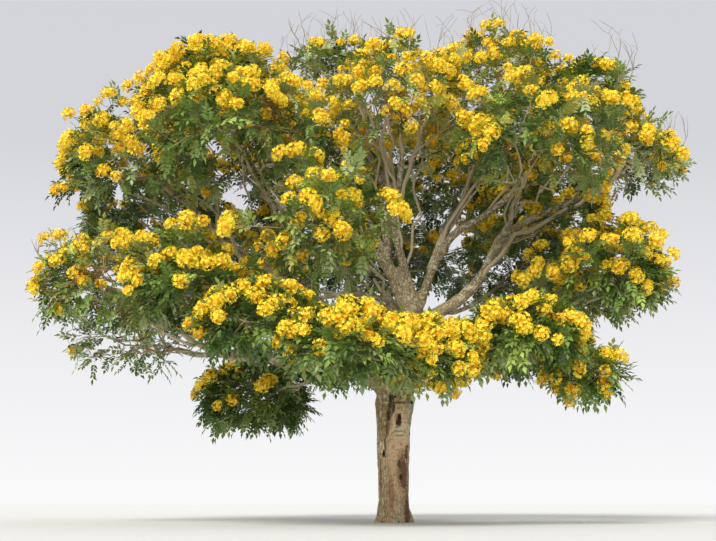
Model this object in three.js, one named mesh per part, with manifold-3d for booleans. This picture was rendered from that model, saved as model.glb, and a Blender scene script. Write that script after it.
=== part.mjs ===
// A markhamia tree in full flower: a short, furrowed trunk that forks low, a fan of tapering boughs,
// and a broad round crown of separate foliage masses. Each mass is a stem that branches into twigs,
// with sprays of leaves and heads of blossom fused on.
// Millimetres, +Z up. The origin is the middle of the flat cut at ground level, +X is the tree's right
// as its low front masses are faced, and -Y is its front.
import * as THREE from 'three';
import { mergeVertices } from 'three/addons/utils/BufferGeometryUtils.js';
import Module from 'manifold-3d';

const wasm = await Module();
wasm.setup();

const METRE = 1000;
const UP = new THREE.Vector3(0, 0, 1);
const GAP = 0.3; // between two solids that meet

// The trunk: its middle line, then its half width at heights above the ground, in metres.
const TRUNK_LINE = [[0, 0, 0], [0.01, 0, 0.9], [0.05, 0, 1.8], [0.17, 0.02, 2.5], [0.33, 0.03, 3.1]];
const TRUNK_GIRTH = [
  [0, 0.3], [0.1, 0.25], [0.3, 0.218], [0.8, 0.232], [1.35, 0.25], [1.75, 0.285],
  [2.05, 0.245], [2.5, 0.195], [2.9, 0.175], [3.1, 0.12],
];
const TRUNK_SIDES = 20;
const TRUNK_RINGS = 18;
const FLARE_TOES = 5; // root ridges that run into the ground
const FLARE_DEPTH = 0.16; // of the half width, at the ground
const FLARE_HEIGHT = 0.35; // metres over which the ridges fade
// Hollows in the trunk's side: where they are, how far they reach round and up, and their depth.
const FURROW = { turn: 253, height: 1.67, wide: 10, tall: 0.18, depth: 0.11 };
const SEAM = { turn: 244, height: 1.36, wide: 8, tall: 0.24, depth: 0.045 };
const KNOTHOLE = { turn: 284, height: 1.45, wide: 11, tall: 0.11, depth: 0.12 };
const LIP = { turn: 283, height: 1.3, wide: 22, tall: 0.05, depth: -0.022 };
const ROT = { turn: 306, height: 0.67, wide: 17, tall: 0.3, depth: 0.035 };
const TRUNK_MARKS = [FURROW, SEAM, KNOTHOLE, LIP, ROT];

const BOUGH_STEP = 0.52; // metres of bough to a ring, at most
const BOUGH_WAVER = 0.022; // of its length
const COLLAR = 0.35; // how much wider a bough starts, as a share of its half width
const COLLAR_LENGTH = 2.2; // of its half width
const TIP_SHARE = 0.42; // a bough's tip against its foot

const ENTRY = 0.82; // of the way from a mass's heart to its edge, where its bough ends
const TWIG_REACH = 0.88; // the same, for the outermost twigs
const TWIG_INNER = 0.5; // and for the innermost
const LOWEST = 0.72; // how far below the heart twigs go, as a share of the half height
const PATH_WEIGHT = 0.35; // what length behind a fork costs against length ahead of it
const BEND = 0.16; // how far a twig keeps on the way of the one that it leaves
const FLATNESS = 1.35; // masses share out the space as if they were this much taller

const TIPS = 6; // twigs of a mass of one metre half width
const TWIG_TIP = 0.009;
const SPRAY = { long: 0.68, wide: 0.34, thick: 0.016, widest: 0.38, sunk: 0.002 };
const SPRAY_DROOP = 0.42;
const ROOT_SHARE = 0.45; // a twig's foot, hidden in the twig that it leaves, against that one
const SPRAY_ROOTS = [0.15, 0.6]; // how far up its twig each spray stands
const SPRAY_WAYS = 7;
const SPRAY_ROOM = 0.118; // metres between a spray and the next twig or spray
const HEAD = { wide: 0.19, tall: 0.15 }; // half sizes of a head of blossom
const BARE_SHOOT = { reach: 1.3, lean: 0.5, tip: 0.006 }; // of the mass's half sizes; out against up; metres
const STEEP = { rise: 0.15, aside: 2.5 }; // a dead shoot's least rise in metres, and what going aside costs
const CLEAR = 0.012; // metres between anything of a mass and another solid

// Boughs and the foliage masses at their tips. from and along: the limb that carries the bough, and
// how far up it. at: the mass's heart (right, back, up) and half: its half sizes, in metres. girth:
// the bough's half width at its foot. bow and kink: how far it bends off a straight line, once and
// as an S, [up, to its left], as shares of its length. bloom: the share of twigs in flower. bare:
// the dead shoots that stand out of the mass.
const CROWN = [
  { name: 'crest_left', from: 'trunk', along: 0.97, at: [-0.9, 0.45, 7.0], half: [0.95, 0.95, 0.98],
    girth: 0.105, bow: [0.05, 0.02], kink: [-0.035, 0.02], bloom: 0.3, bare: 3 },
  { name: 'crest', from: 'trunk', along: 0.985, at: [0.12, -0.8, 6.16], half: [1.0, 0.95, 0.86],
    girth: 0.1, bow: [0.02, -0.06], kink: [0.02, 0.0], bloom: 0.65, bare: 2 },
  { name: 'right_crest', from: 'trunk', along: 0.95, at: [3.0, -0.2, 6.25], half: [1.0, 1.0, 1.0],
    girth: 0.09, bow: [0.075, 0.03], kink: [0.02, 0], bloom: 0.5, bare: 2 },
  { name: 'right_tip', from: 'trunk', along: 0.9, at: [3.75, -0.1, 5.4], half: [1.0, 0.95, 0.75],
    girth: 0.11, bow: [0.045, 0.02], kink: [-0.035, 0.02], bloom: 0.5, bare: 2 },
  { name: 'left_crest', from: 'trunk', along: 0.955, at: [-2.85, 0.35, 6.85], half: [1.25, 1.1, 1.0],
    girth: 0.09, bow: [-0.03, 0.03], kink: [0.07, 0.0], bloom: 0.7, bare: 0 },
  { name: 'left_shoulder', from: 'trunk', along: 0.89, at: [-4.1, -0.2, 5.38], half: [1.15, 1.05, 0.82],
    girth: 0.105, bow: [-0.06, -0.03], kink: [-0.02, 0.02], bloom: 0.65, bare: 0 },
  { name: 'left_tip', from: 'trunk', along: 0.595, at: [-4.35, -0.8, 3.27], half: [0.94, 1.0, 0.74],
    girth: 0.125, bow: [-0.02, 0.06], kink: [0.03, -0.02], bloom: 0.45, bare: 2 },
  { name: 'right_skirt', from: 'trunk', along: 0.78, at: [3.15, -0.9, 3.4], half: [1.0, 1.05, 0.68],
    girth: 0.095, bow: [-0.03, -0.05], kink: [0.03, 0.03], bloom: 0.75, bare: 0 },
  { name: 'back', from: 'trunk', along: 0.87, at: [0.15, 3.3, 4.7], half: [1.35, 1.1, 0.95],
    girth: 0.095, bow: [0.03, 0.05], kink: [0.03, -0.02], bloom: 0.5, bare: 0 },
  { name: 'front', from: 'trunk', along: 0.7, at: [-0.6, -3.5, 2.06], half: [0.9, 0.85, 0.48],
    girth: 0.085, bow: [0.13, 0.03], kink: [0.02, 0.03], bloom: 0.8, bare: 0 },
  { name: 'left_heart', from: 'trunk', along: 0.83, at: [-1.0, -2.7, 3.65], half: [0.97, 0.95, 0.78],
    girth: 0.065, bow: [0.05, 0.05], kink: [0.03, 0], bloom: 0.5, bare: 0 },
  { name: 'crest_right', from: 'right_crest', along: 0.25, at: [1.75, 0.15, 6.95], half: [1.0, 1.0, 1.0],
    girth: 0.065, bow: [-0.04, -0.03], kink: [0.03, 0.02], bloom: 0.5, bare: 3 },
  { name: 'right_breast', from: 'right_tip', along: 0.44, at: [1.95, -1.95, 5.0], half: [0.92, 0.95, 0.8],
    girth: 0.055, bow: [0.05, 0.04], kink: [0.03, 0.02], bloom: 0.5, bare: 0 },
  { name: 'right_inner', from: 'right_tip', along: 0.5, at: [2.7, 0.7, 4.9], half: [0.95, 0.95, 0.72],
    girth: 0.055, bow: [0.03, 0.04], kink: [0.02, 0.02], bloom: 0.4, bare: 0 },
  { name: 'left_breast', from: 'left_shoulder', along: 0.4, at: [-2.2, -2.1, 5.2], half: [1.05, 1.0, 0.66],
    girth: 0.06, bow: [0.06, 0.05], kink: [0.03, 0.02], bloom: 0.65, bare: 0 },
  { name: 'left_shade', from: 'left_shoulder', along: 0.52, at: [-4.0, 0.95, 4.75], half: [1.2, 1.0, 0.68],
    girth: 0.06, bow: [0.03, 0.04], kink: [0.02, 0.03], bloom: 0.25, bare: 0 },
  { name: 'left_hem', from: 'left_tip', along: 0.5, at: [-4.1, 0.3, 2.65], half: [1.1, 0.9, 0.6],
    girth: 0.06, bow: [0.0, -0.05], kink: [0.03, 0.02], bloom: 0.15, bare: 2 },
  { name: 'left_apron', from: 'left_tip', along: 0.32, at: [-2.7, -2.0, 3.05], half: [1.05, 0.95, 0.68],
    girth: 0.06, bow: [0.05, 0.05], kink: [0.03, 0.02], bloom: 0.7, bare: 0 },
  { name: 'low_left', from: 'left_tip', along: 0.22, at: [-2.15, 0.7, 1.85], half: [1.05, 0.95, 0.68],
    girth: 0.055, bow: [0.08, -0.06], kink: [0.03, 0.02], bloom: 0.35, bare: 0 },
  { name: 'front_left', from: 'front', along: 0.42, at: [-1.7, -3.0, 2.4], half: [0.9, 0.85, 0.53],
    girth: 0.05, bow: [0.05, 0.05], kink: [0.03, 0.02], bloom: 0.8, bare: 0 },
  { name: 'front_right', from: 'front', along: 0.36, at: [0.33, -2.85, 2.02], half: [0.72, 0.8, 0.47],
    girth: 0.045, bow: [0.06, -0.05], kink: [0.03, 0.02], bloom: 0.8, bare: 0 },
  { name: 'right_apron', from: 'right_skirt', along: 0.28, at: [1.62, -2.3, 2.35], half: [0.93, 0.95, 0.52],
    girth: 0.055, bow: [0.04, -0.04], kink: [0.03, 0.02], bloom: 0.75, bare: 0 },
  { name: 'right_drop', from: 'right_skirt', along: 0.5, at: [2.5, -1.85, 1.95], half: [0.52, 0.54, 0.38],
    girth: 0.04, bow: [0.08, 0.0], kink: [0.03, 0.02], bloom: 0.7, bare: 0 },
  { name: 'back_left', from: 'back', along: 0.22, at: [-2.6, 2.9, 4.4], half: [1.25, 1.15, 0.92],
    girth: 0.065, bow: [0.0, 0.05], kink: [0.03, 0.02], bloom: 0.5, bare: 0 },
  { name: 'back_low', from: 'back', along: 0.3, at: [-0.6, 3.3, 2.9], half: [1.2, 1.0, 0.68],
    girth: 0.055, bow: [0.09, 0.0], kink: [0.03, 0.02], bloom: 0.5, bare: 0 },
  { name: 'back_right', from: 'right_skirt', along: 0.16, at: [2.45, 2.55, 4.45], half: [1.3, 1.15, 0.9],
    girth: 0.055, bow: [0.02, 0.06], kink: [0.03, 0.02], bloom: 0.5, bare: 0 },
  { name: 'back_crest_left', from: 'crest_left', along: 0.3, at: [-1.15, 2.2, 6.1], half: [1.25, 1.1, 1.0],
    girth: 0.06, bow: [0.0, -0.05], kink: [0.03, 0.02], bloom: 0.5, bare: 1 },
  { name: 'back_crest_right', from: 'right_crest', along: 0.38, at: [1.35, 2.1, 5.85], half: [1.25, 1.1, 1.0],
    girth: 0.055, bow: [0.0, 0.05], kink: [0.03, 0.02], bloom: 0.5, bare: 1 },
  { name: 'right_back_skirt', from: 'right_skirt', along: 0.38, at: [2.5, 1.7, 2.8], half: [1.1, 1.0, 0.65],
    girth: 0.055, bow: [0.05, 0.05], kink: [0.03, 0.02], bloom: 0.5, bare: 0 },
];

const BARK = new THREE.MeshStandardMaterial({ color: 0x8a7762, roughness: 0.95, metalness: 0 });
const FOLIAGE = new THREE.MeshStandardMaterial({ color: 0x5f7440, roughness: 0.8, metalness: 0 });

const metres = (list) => new THREE.Vector3(...list).multiplyScalar(METRE);
const fraction = (x) => x - Math.floor(x);
const lerp = THREE.MathUtils.lerp;

// Turns a closed three.js geometry into a solid.
function solidOf(geometry) {
  const bare = geometry.clone();
  bare.deleteAttribute('normal');
  bare.deleteAttribute('uv');
  const merged = mergeVertices(bare, 1e-3);
  return new wasm.Manifold(new wasm.Mesh({
    numProp: 3,
    vertProperties: new Float32Array(merged.attributes.position.array),
    triVerts: new Uint32Array(merged.index.array),
  }));
}

// The largest single body of a solid, with no scraps beside it and no hollow sealed inside it.
function wholeBody(solid) {
  return solid.decompose().reduce((most, body) => (body.volume() > most.volume() ? body : most));
}

// A named mesh of a solid, its nearly flat creases cleaned away.
function meshOf(name, solid, material, fine = 0.02) {
  const body = wholeBody(solid.simplify(fine));
  const { vertProperties, triVerts, numProp, numVert } = body.getMesh();
  const corners = new Float32Array(numVert * 3);
  for (let i = 0; i < numVert; i += 1) {
    corners.set(vertProperties.subarray(i * numProp, i * numProp + 3), i * 3);
  }
  const geometry = new THREE.BufferGeometry();
  geometry.setAttribute('position', new THREE.BufferAttribute(corners, 3));
  geometry.setIndex(new THREE.BufferAttribute(new Uint32Array(triVerts), 1));
  geometry.computeVertexNormals();
  const mesh = new THREE.Mesh(geometry, material);
  mesh.name = name;
  return mesh;
}

// A closed rod of round section with a ring for each step. ring gives a ring's middle, its two
// square directions and its half width, from how far along it is; wide, where given, varies that
// half width round the ring.
function rod(sides, steps, ring) {
  const geometry = new THREE.CylinderGeometry(1, 1, 1, sides, steps);
  const place = geometry.attributes.position;
  for (let i = 0; i < place.count; i += 1) {
    const along = place.getY(i) + 0.5;
    const turn = Math.atan2(place.getX(i), place.getZ(i));
    const out = Math.hypot(place.getX(i), place.getZ(i));
    const { middle, left, over, wide } = ring(along);
    const reach = out * (typeof wide === 'function' ? wide(turn) : wide);
    place.setXYZ(i, ...middle.clone()
      .addScaledVector(left, reach * Math.cos(turn))
      .addScaledVector(over, reach * Math.sin(turn)));
  }
  return solidOf(geometry);
}

// A point of a limb's middle line, moved out past the limb's end by as much as the limb is grown.
function pastEnd(limb, along, grow) {
  const out = grow * (Math.sign(along - 0.999) + Math.sign(along - 0.001)) / 2;
  return limb.point(along).addScaledVector(limb.way(along), out);
}

// Two directions square to a line's own. One guide for a whole curve keeps it from twisting.
function square(way, guide = Math.abs(way.z) < 0.9 ? UP : new THREE.Vector3(0, 1, 0)) {
  const left = guide.clone().cross(way).normalize();
  return { left, over: way.clone().cross(left) };
}

// The shortest distance between two straight lines p-q and r-s.
function apart(p, q, r, s) {
  const a = q.clone().sub(p);
  const b = s.clone().sub(r);
  const c = p.clone().sub(r);
  const [aa, ab, bb, ac, bc] = [a.dot(a), a.dot(b), b.dot(b), a.dot(c), b.dot(c)];
  const even = Math.max(aa * bb - ab * ab, 1e-9);
  let u = THREE.MathUtils.clamp((ab * bc - bb * ac) / even, 0, 1);
  const v = THREE.MathUtils.clamp((ab * u + bc) / bb, 0, 1);
  u = THREE.MathUtils.clamp((ab * v - ac) / aa, 0, 1);
  return c.addScaledVector(a, u).addScaledVector(b, -v).length();
}

// A smooth value at x from [x, value] stations.
function girthAt(stations, x) {
  const last = stations.length - 1;
  const i = Math.min(Math.max(stations.findIndex(([at]) => at > x) - 1, 0), last - 1);
  const k = x >= stations[last][0] ? last - 1 : i;
  const [[x0, y0], [x1, y1]] = [stations[k], stations[k + 1]];
  const t = THREE.MathUtils.clamp((x - x0) / (x1 - x0), 0, 1);
  return lerp(y0, y1, t * t * (3 - 2 * t));
}

// How deep a mark on the trunk cuts at this turn (degrees) and height (metres).
function markDepth({ turn, height, wide, tall, depth }, degrees, up) {
  const round = ((degrees - turn + 540) % 360) - 180;
  return depth * Math.exp(-((round / wide) ** 2) - ((up - height) / tall) ** 2);
}

class Trunk {
  constructor() {
    this.name = 'trunk';
    this.curve = new THREE.CatmullRomCurve3(TRUNK_LINE.map(metres));
    this.top = TRUNK_LINE.at(-1)[2];
  }

  point(along) { return this.curve.getPointAt(along); }

  way(along) { return this.curve.getTangentAt(along); }

  girth(along) { return METRE * girthAt(TRUNK_GIRTH, this.point(along).z / METRE); }

  // The half width at a height and a turn, with the root ridges and the marks.
  wide(up, turn) {
    const ridges = FLARE_DEPTH * Math.exp(-up / FLARE_HEIGHT) * Math.cos(FLARE_TOES * turn + 0.6);
    const degrees = THREE.MathUtils.radToDeg(turn);
    const cut = TRUNK_MARKS.reduce((sum, mark) => sum + markDepth(mark, degrees, up), 0);
    return METRE * (girthAt(TRUNK_GIRTH, up) * (1 + ridges) - cut);
  }

  solid(grow = 0) {
    return rod(TRUNK_SIDES, TRUNK_RINGS, (along) => {
      const up = this.point(along).z / METRE;
      return {
        middle: pastEnd(this, along, grow),
        left: new THREE.Vector3(1, 0, 0),
        over: new THREE.Vector3(0, 1, 0),
        wide: (turn) => this.wide(up, turn) + grow,
      };
    });
  }
}

class Bough {
  constructor(plan, index, parent, mass) {
    this.name = `bough_${plan.name}`;
    this.foot = parent.point(plan.along);
    this.wide = plan.girth * METRE;
    const chord = mass.entry.clone().sub(this.foot);
    this.length = chord.length();
    this.seed = fraction(0.37 + index * 0.618034);
    this.side = UP.clone().cross(chord).normalize();
    const over = chord.clone().cross(this.side).normalize();
    const steps = Math.max(4, Math.ceil(this.length / (BOUGH_STEP * METRE)));
    const line = Array.from({ length: steps + 1 }, (_, i) => {
      const t = i / steps;
      const [once, twice] = [Math.sin(Math.PI * t), Math.sin(2 * Math.PI * t)];
      const waver = [1.7, 1.3].map((beat, k) => (
        BOUGH_WAVER * once * Math.sin(2 * Math.PI * (beat * t + (k + 1) * this.seed))));
      const [up, across] = [0, 1].map((k) => (
        this.length * (plan.bow[k] * once + plan.kink[k] * twice + waver[k])));
      return this.foot.clone().addScaledVector(chord, t).addScaledVector(over, up)
        .addScaledVector(this.side, across);
    });
    this.curve = new THREE.CatmullRomCurve3(line);
    this.steps = steps;
  }

  point(along) { return this.curve.getPointAt(along); }

  way(along) { return this.curve.getTangentAt(along); }

  square(along) { return square(this.way(along), this.side); }

  girth(along) {
    const collar = COLLAR * Math.exp(-along * this.length / (COLLAR_LENGTH * this.wide));
    return this.wide * (lerp(1, TIP_SHARE, along ** 0.85) + collar);
  }

  solid(grow = 0) {
    const sides = this.wide > 75 ? 7 : 6;
    return rod(sides, this.steps, (along) => ({
      middle: pastEnd(this, along, grow),
      ...this.square(along),
      wide: this.girth(along) + grow,
    }));
  }
}

// The space that one mass of foliage keeps to.
class Mass {
  constructor(plan, index) {
    this.name = plan.name;
    this.heart = metres(plan.at);
    this.half = metres(plan.half);
    this.bloom = plan.bloom;
    this.bare = plan.bare;
    this.seed = fraction(0.173 + index * 0.7548776662);
    this.size = (this.half.x + this.half.y) / 2;
    this.tips = Math.round(TIPS * (plan.half[0] * plan.half[1]) ** 0.75);
  }

  // 0 at the heart and 1 at the edge.
  share(point) {
    return point.clone().sub(this.heart).divide(this.half).length();
  }

  // How far a point is inside the planes that part this mass from the others.
  margin(point, masses) {
    const scaled = (v) => new THREE.Vector3(v.x, v.y, v.z * FLATNESS);
    const power = (m) => scaled(point.clone().sub(m.heart)).lengthSq() - m.size ** 2;
    const own = power(this);
    const gaps = masses.filter((m) => m !== this)
      .map((m) => (power(m) - own) / (2 * scaled(m.heart.clone().sub(this.heart)).length()));
    return Math.min(...gaps);
  }

  holds(point, masses, clear = CLEAR * METRE) {
    return this.share(point) <= 1 && this.margin(point, masses) >= clear;
  }

  // Where its bough ends: on the way from the heart to the bough's foot, still inside.
  enterFrom(foot, masses) {
    const out = foot.clone().sub(this.heart);
    for (let t = 1; t > 0.02; t -= 0.02) {
      const point = this.heart.clone().addScaledVector(out, t);
      if (this.share(point) <= ENTRY && this.margin(point, masses) > 6 * CLEAR * METRE) {
        this.entry = point;
        return;
      }
    }
    throw new Error(`${this.name} has no way in`);
  }

  // The n-th twig's tip, spread evenly over the mass for any number of twigs.
  tip(n) {
    const [a, b, c] = [0.8191725134, 0.6710436067, 0.5497004779]
      .map((step, k) => fraction(this.seed * (k + 1) + n * step));
    const rise = 1 - b * (1 + LOWEST);
    const out = Math.sqrt(1 - rise * rise);
    const depth = lerp(TWIG_INNER, TWIG_REACH, Math.sqrt(c));
    return new THREE.Vector3(out * Math.cos(2 * Math.PI * a), out * Math.sin(2 * Math.PI * a), rise)
      .multiply(this.half).multiplyScalar(depth).add(this.heart);
  }

  // The tip of the k-th dead shoot, above the mass and on the side away from the tree's middle.
  bareTip(k) {
    const turn = 2 * Math.PI * fraction(this.seed * 3 + k * 0.618034);
    const out = new THREE.Vector3(this.heart.x, this.heart.y, 0).normalize();
    const lean = new THREE.Vector3(Math.cos(turn), Math.sin(turn), 0).add(out);
    return lean.multiplyScalar(BARE_SHOOT.lean / 2).add(UP).normalize()
      .multiplyScalar(BARE_SHOOT.reach - 0.06 * k).multiply(this.half).add(this.heart);
  }

  blooms(n) { return fraction(this.seed * 5 + n * 0.5698402910) < this.bloom; }
}

// Whether a stretch of twig or leaf of this half width keeps clear of every limb but its own.
function clearOfLimbs(from, to, wide, limbs, own) {
  return limbs.every(({ limb, line }) => limb === own || line.every(([p, q, girth]) => (
    apart(from, to, p, q) > girth + wide + CLEAR * METRE)));
}

// What a twig is, where it isn't the n-th leafy one.
const STEM = -1;
const BARE = -2;

// A curved twig that leaves node and ends at tip.
function twigCurve(node, tip) {
  const long = tip.distanceTo(node.at);
  const control = node.at.clone().lerp(tip, 0.5).addScaledVector(node.way, BEND * long);
  return new THREE.QuadraticBezierCurve3(node.at, control, tip);
}

// The twigs of a mass: each tip in turn joins the nearest node by the shortest way from the stem.
function growTwigs(mass, bough, masses, limbs) {
  const way = bough.way(1);
  const start = mass.entry.clone().addScaledVector(way, GAP);
  const root = { at: start, way, path: 0, parent: null, tips: 0 };
  const nodes = [];
  const twigs = [];
  const branch = (parent, tip, n) => {
    const curve = twigCurve(parent, tip);
    const middle = curve.getPoint(0.5);
    const long = curve.getLength();
    const ends = [[middle, 0.5], [tip, 1]].map(([at, share]) => ({
      at, way: curve.getTangent(share), path: parent.path + long * share, tips: 0,
    }));
    ends[0].parent = parent;
    ends[1].parent = ends[0];
    nodes.push(...ends);
    twigs.push({ curve, from: parent, to: ends, n });
    for (let node = ends[1]; node; node = node.parent) node.tips += 1;
  };
  branch(root, mass.heart, STEM);
  for (let n = 0; n < mass.tips; n += 1) {
    const tip = mass.tip(n);
    if (!mass.holds(tip, masses, 0.12 * METRE)) continue;
    const cost = (node) => tip.distanceTo(node.at) + PATH_WEIGHT * node.path;
    const parent = nodes.reduce((best, node) => (cost(node) < cost(best) ? node : best));
    const middle = twigCurve(parent, tip).getPoint(0.5);
    const clear = clearOfLimbs(parent.at, middle, 20, limbs) && clearOfLimbs(middle, tip, 20, limbs);
    if (clear) branch(parent, tip, n);
  }
  for (let k = 0; k < mass.bare; k += 1) {
    const tip = mass.bareTip(k);
    const cost = (node) => {
      const away = tip.clone().sub(node.at);
      if (away.z < STEEP.rise * METRE) return Infinity;
      return away.z + STEEP.aside * Math.hypot(away.x, away.y);
    };
    const parent = nodes.reduce((best, node) => (cost(node) < cost(best) ? node : best));
    if (mass.margin(tip, masses) > CLEAR * METRE) branch(parent, tip, BARE);
  }
  const most = root.tips;
  const power = Math.log(bough.girth(1) / (TWIG_TIP * METRE)) / Math.log(Math.max(most, 2));
  nodes.concat(root).forEach((node) => {
    node.wide = TWIG_TIP * METRE * Math.max(node.tips, 1) ** power;
  });
  return { root, twigs };
}

// A spray of leaves: a thin pointed blade of eight faces from its root towards its tip.
function sprayCorners(root, way, flat) {
  const long = SPRAY.long * METRE;
  const across = way.clone().cross(flat).normalize();
  const face = across.clone().cross(way);
  const foot = root.clone().addScaledVector(way, -SPRAY.sunk * METRE);
  const belly = foot.clone().addScaledVector(way, SPRAY.widest * long);
  const tip = foot.clone().addScaledVector(way, long);
  const side = (v, size) => [1, -1].map((s) => belly.clone().addScaledVector(v, s * size * METRE / 2));
  return [foot, tip, ...side(across, SPRAY.wide), ...side(face, SPRAY.thick)];
}

// A closed solid of eight faces: two ends and a ring of four corners between them.
function eightFaces([foot, tip, left, right, top, under]) {
  const geometry = new THREE.OctahedronGeometry(1, 0);
  const place = geometry.attributes.position;
  for (let i = 0; i < place.count; i += 1) {
    const [x, y, z] = [place.getX(i), place.getY(i), place.getZ(i)];
    const ends = [[x, tip, foot], [y, left, right], [z, top, under]];
    const [sign, plus, minus] = ends.find(([value]) => Math.abs(value) > 0.5);
    const corner = sign > 0 ? plus : minus;
    place.setXYZ(i, corner.x, corner.y, corner.z);
  }
  const solid = solidOf(geometry);
  return solid.volume() > 0 ? solid : eightFaces([foot, tip, right, left, top, under]);
}

// The corners of a head of blossom round a twig's tip.
function headCorners(tip, way, size) {
  const { left, over } = square(way);
  const arms = [[way, HEAD.tall], [left, HEAD.wide], [over, HEAD.wide]];
  const [ends, sides, tops] = arms.map(([v, r]) => [-1, 1].map((s) => (
    tip.clone().addScaledVector(v, s * r * size * METRE))));
  return [...ends, ...sides, ...tops];
}

// The way of a spray that leaves a twig: of the ways open to it round the twig, the freest one.
function freestWay(root, twigWay, outward, turn, lines) {
  const { left, over } = square(twigWay);
  const ways = Array.from({ length: SPRAY_WAYS }, (_, k) => {
    const at = turn + 2 * Math.PI * k / SPRAY_WAYS;
    return left.clone().multiplyScalar(Math.cos(at)).addScaledVector(over, Math.sin(at))
      .addScaledVector(outward, 0.55).addScaledVector(UP, -SPRAY_DROOP).normalize();
  });
  const room = (way) => {
    const [near, far] = [0.3, 1].map((t) => root.clone().addScaledVector(way, t * SPRAY.long * METRE));
    return Math.min(...lines.map(([p, q, wide]) => apart(near, far, p, q) - wide));
  };
  const rooms = ways.map(room);
  const best = Math.max(...rooms);
  return { way: ways[rooms.indexOf(best)], room: best };
}

// One mass of foliage as a single solid.
function foliage(mass, bough, masses, limbs) {
  const { twigs } = growTwigs(mass, bough, masses, limbs);
  const lines = twigs.flatMap(({ from, to }) => [[from.at, to[0].at, 10], [to[0].at, to[1].at, 10]]);
  const pieces = [];
  const keep = (corners, wide) => {
    const [foot, tip] = corners;
    const inside = corners.every((corner) => mass.margin(corner, masses) >= CLEAR * METRE);
    const clear = inside && clearOfLimbs(foot, tip, wide, limbs);
    if (clear) {
      pieces.push(eightFaces(corners));
      lines.push([foot, tip, wide / 2]);
    }
    return clear;
  };
  twigs.forEach(({ curve, from, to, n }) => {
    const isStem = n === STEM;
    const guide = isStem ? bough.side : undefined;
    const tip = n === BARE ? BARE_SHOOT.tip * METRE : to[1].wide;
    const widths = [isStem ? bough.girth(1) * 0.97 : ROOT_SHARE * from.wide, to[0].wide, tip];
    pieces.push(rod(isStem ? 5 : 3, 2, (along) => ({
      middle: curve.getPoint(along),
      ...(isStem && along === 0 ? bough.square(1) : square(curve.getTangent(0.5), guide)),
      wide: widths[Math.round(along * 2)],
    })));
  });
  twigs.filter(({ n }) => n >= 0).forEach(({ curve, to, n }) => {
    const tip = to[1].at;
    if (mass.blooms(n)) {
      const size = lerp(0.85, 1.15, fraction(n * 0.7548776662));
      keep(headCorners(tip, curve.getTangent(1), size), HEAD.wide * METRE);
    }
  });
  twigs.filter(({ n }) => n >= 0).forEach(({ curve, to, n }) => {
    SPRAY_ROOTS.forEach((share, k) => {
      const root = to[0].at.clone().lerp(to[1].at, share);
      const outward = root.clone().sub(mass.heart).divide(mass.half).normalize();
      const turn = 2 * Math.PI * fraction(n * 0.618034 + k * 0.47);
      const { way, room } = freestWay(root, curve.getTangent(1), outward, turn, lines);
      if (room < SPRAY_ROOM * METRE) return;
      keep(sprayCorners(root, way, UP.clone().add(outward)), SPRAY.wide * METRE / 2);
    });
  });
  return wasm.Manifold.union(pieces);
}

const masses = CROWN.map((plan, index) => new Mass(plan, index));
const limbs = new Map([['trunk', new Trunk()]]);
CROWN.forEach((plan, index) => {
  const parent = limbs.get(plan.from);
  masses[index].enterFrom(parent.point(plan.along), masses);
  limbs.set(plan.name, new Bough(plan, index, parent, masses[index]));
});

// Each limb's middle line as short straight stretches with their half width, for keeping clear of.
const stretches = [...limbs.values()].map((limb) => {
  const count = 12;
  const line = Array.from({ length: count }, (_, i) => {
    const [low, high] = [i / count, (i + 1) / count];
    return [limb.point(low), limb.point(high), Math.max(limb.girth(low), limb.girth(high))];
  });
  return { limb, line };
});

const tree = new THREE.Group();
tree.name = 'markhamia_tree';

// Each limb is cut clear of the ones before it, so that a bough seats on the limb that carries it.
const solids = [];
limbs.forEach((limb) => {
  const box = (solid) => {
    const { min, max } = solid.boundingBox();
    return new THREE.Box3(new THREE.Vector3(...min), new THREE.Vector3(...max));
  };
  let solid = limb.solid();
  solids.filter((other) => box(other.grown).intersectsBox(box(solid)))
    .forEach((other) => { solid = solid.subtract(other.grown); });
  solids.push({ limb, grown: limb.solid(GAP) });
  tree.add(meshOf(limb.name, solid, BARK));
});

masses.forEach((mass) => {
  const solid = foliage(mass, limbs.get(mass.name), masses, stretches);
  tree.add(meshOf(`foliage_${mass.name}`, solid, FOLIAGE, 3));
});

export default tree;
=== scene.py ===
"""A markhamia tree in full flower, dressed on its frame.

A short, furrowed trunk forks low into a fan of boughs under a broad, round crown. Bark, twigs,
leaves and blossom grow here by the rule that the solids of the tree follow, carried to finer twigs.
Metres, +Z up. The origin is the middle of the cut at ground level, and the tree's front is -Y.
"""

import logging
import math
from collections.abc import Sequence
from dataclasses import dataclass, field
from enum import Enum

import bmesh
import bpy
import numpy as np
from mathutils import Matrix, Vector, noise


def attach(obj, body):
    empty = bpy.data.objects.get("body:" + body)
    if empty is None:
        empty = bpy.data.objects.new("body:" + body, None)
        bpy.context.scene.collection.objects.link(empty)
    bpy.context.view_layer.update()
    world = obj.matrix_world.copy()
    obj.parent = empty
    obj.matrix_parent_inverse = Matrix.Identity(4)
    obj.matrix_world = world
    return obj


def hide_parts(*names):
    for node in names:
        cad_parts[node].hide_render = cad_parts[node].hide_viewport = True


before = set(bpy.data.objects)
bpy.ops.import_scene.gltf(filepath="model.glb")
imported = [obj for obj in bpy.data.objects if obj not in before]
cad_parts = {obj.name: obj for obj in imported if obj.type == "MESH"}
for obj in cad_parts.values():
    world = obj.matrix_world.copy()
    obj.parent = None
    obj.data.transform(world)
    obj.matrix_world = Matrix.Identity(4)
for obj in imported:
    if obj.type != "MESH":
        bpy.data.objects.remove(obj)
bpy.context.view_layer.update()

Array = np.ndarray
Span = tuple[float, float]
Point = tuple[float, float, float]
Colour = tuple[float, float, float, float]

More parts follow.
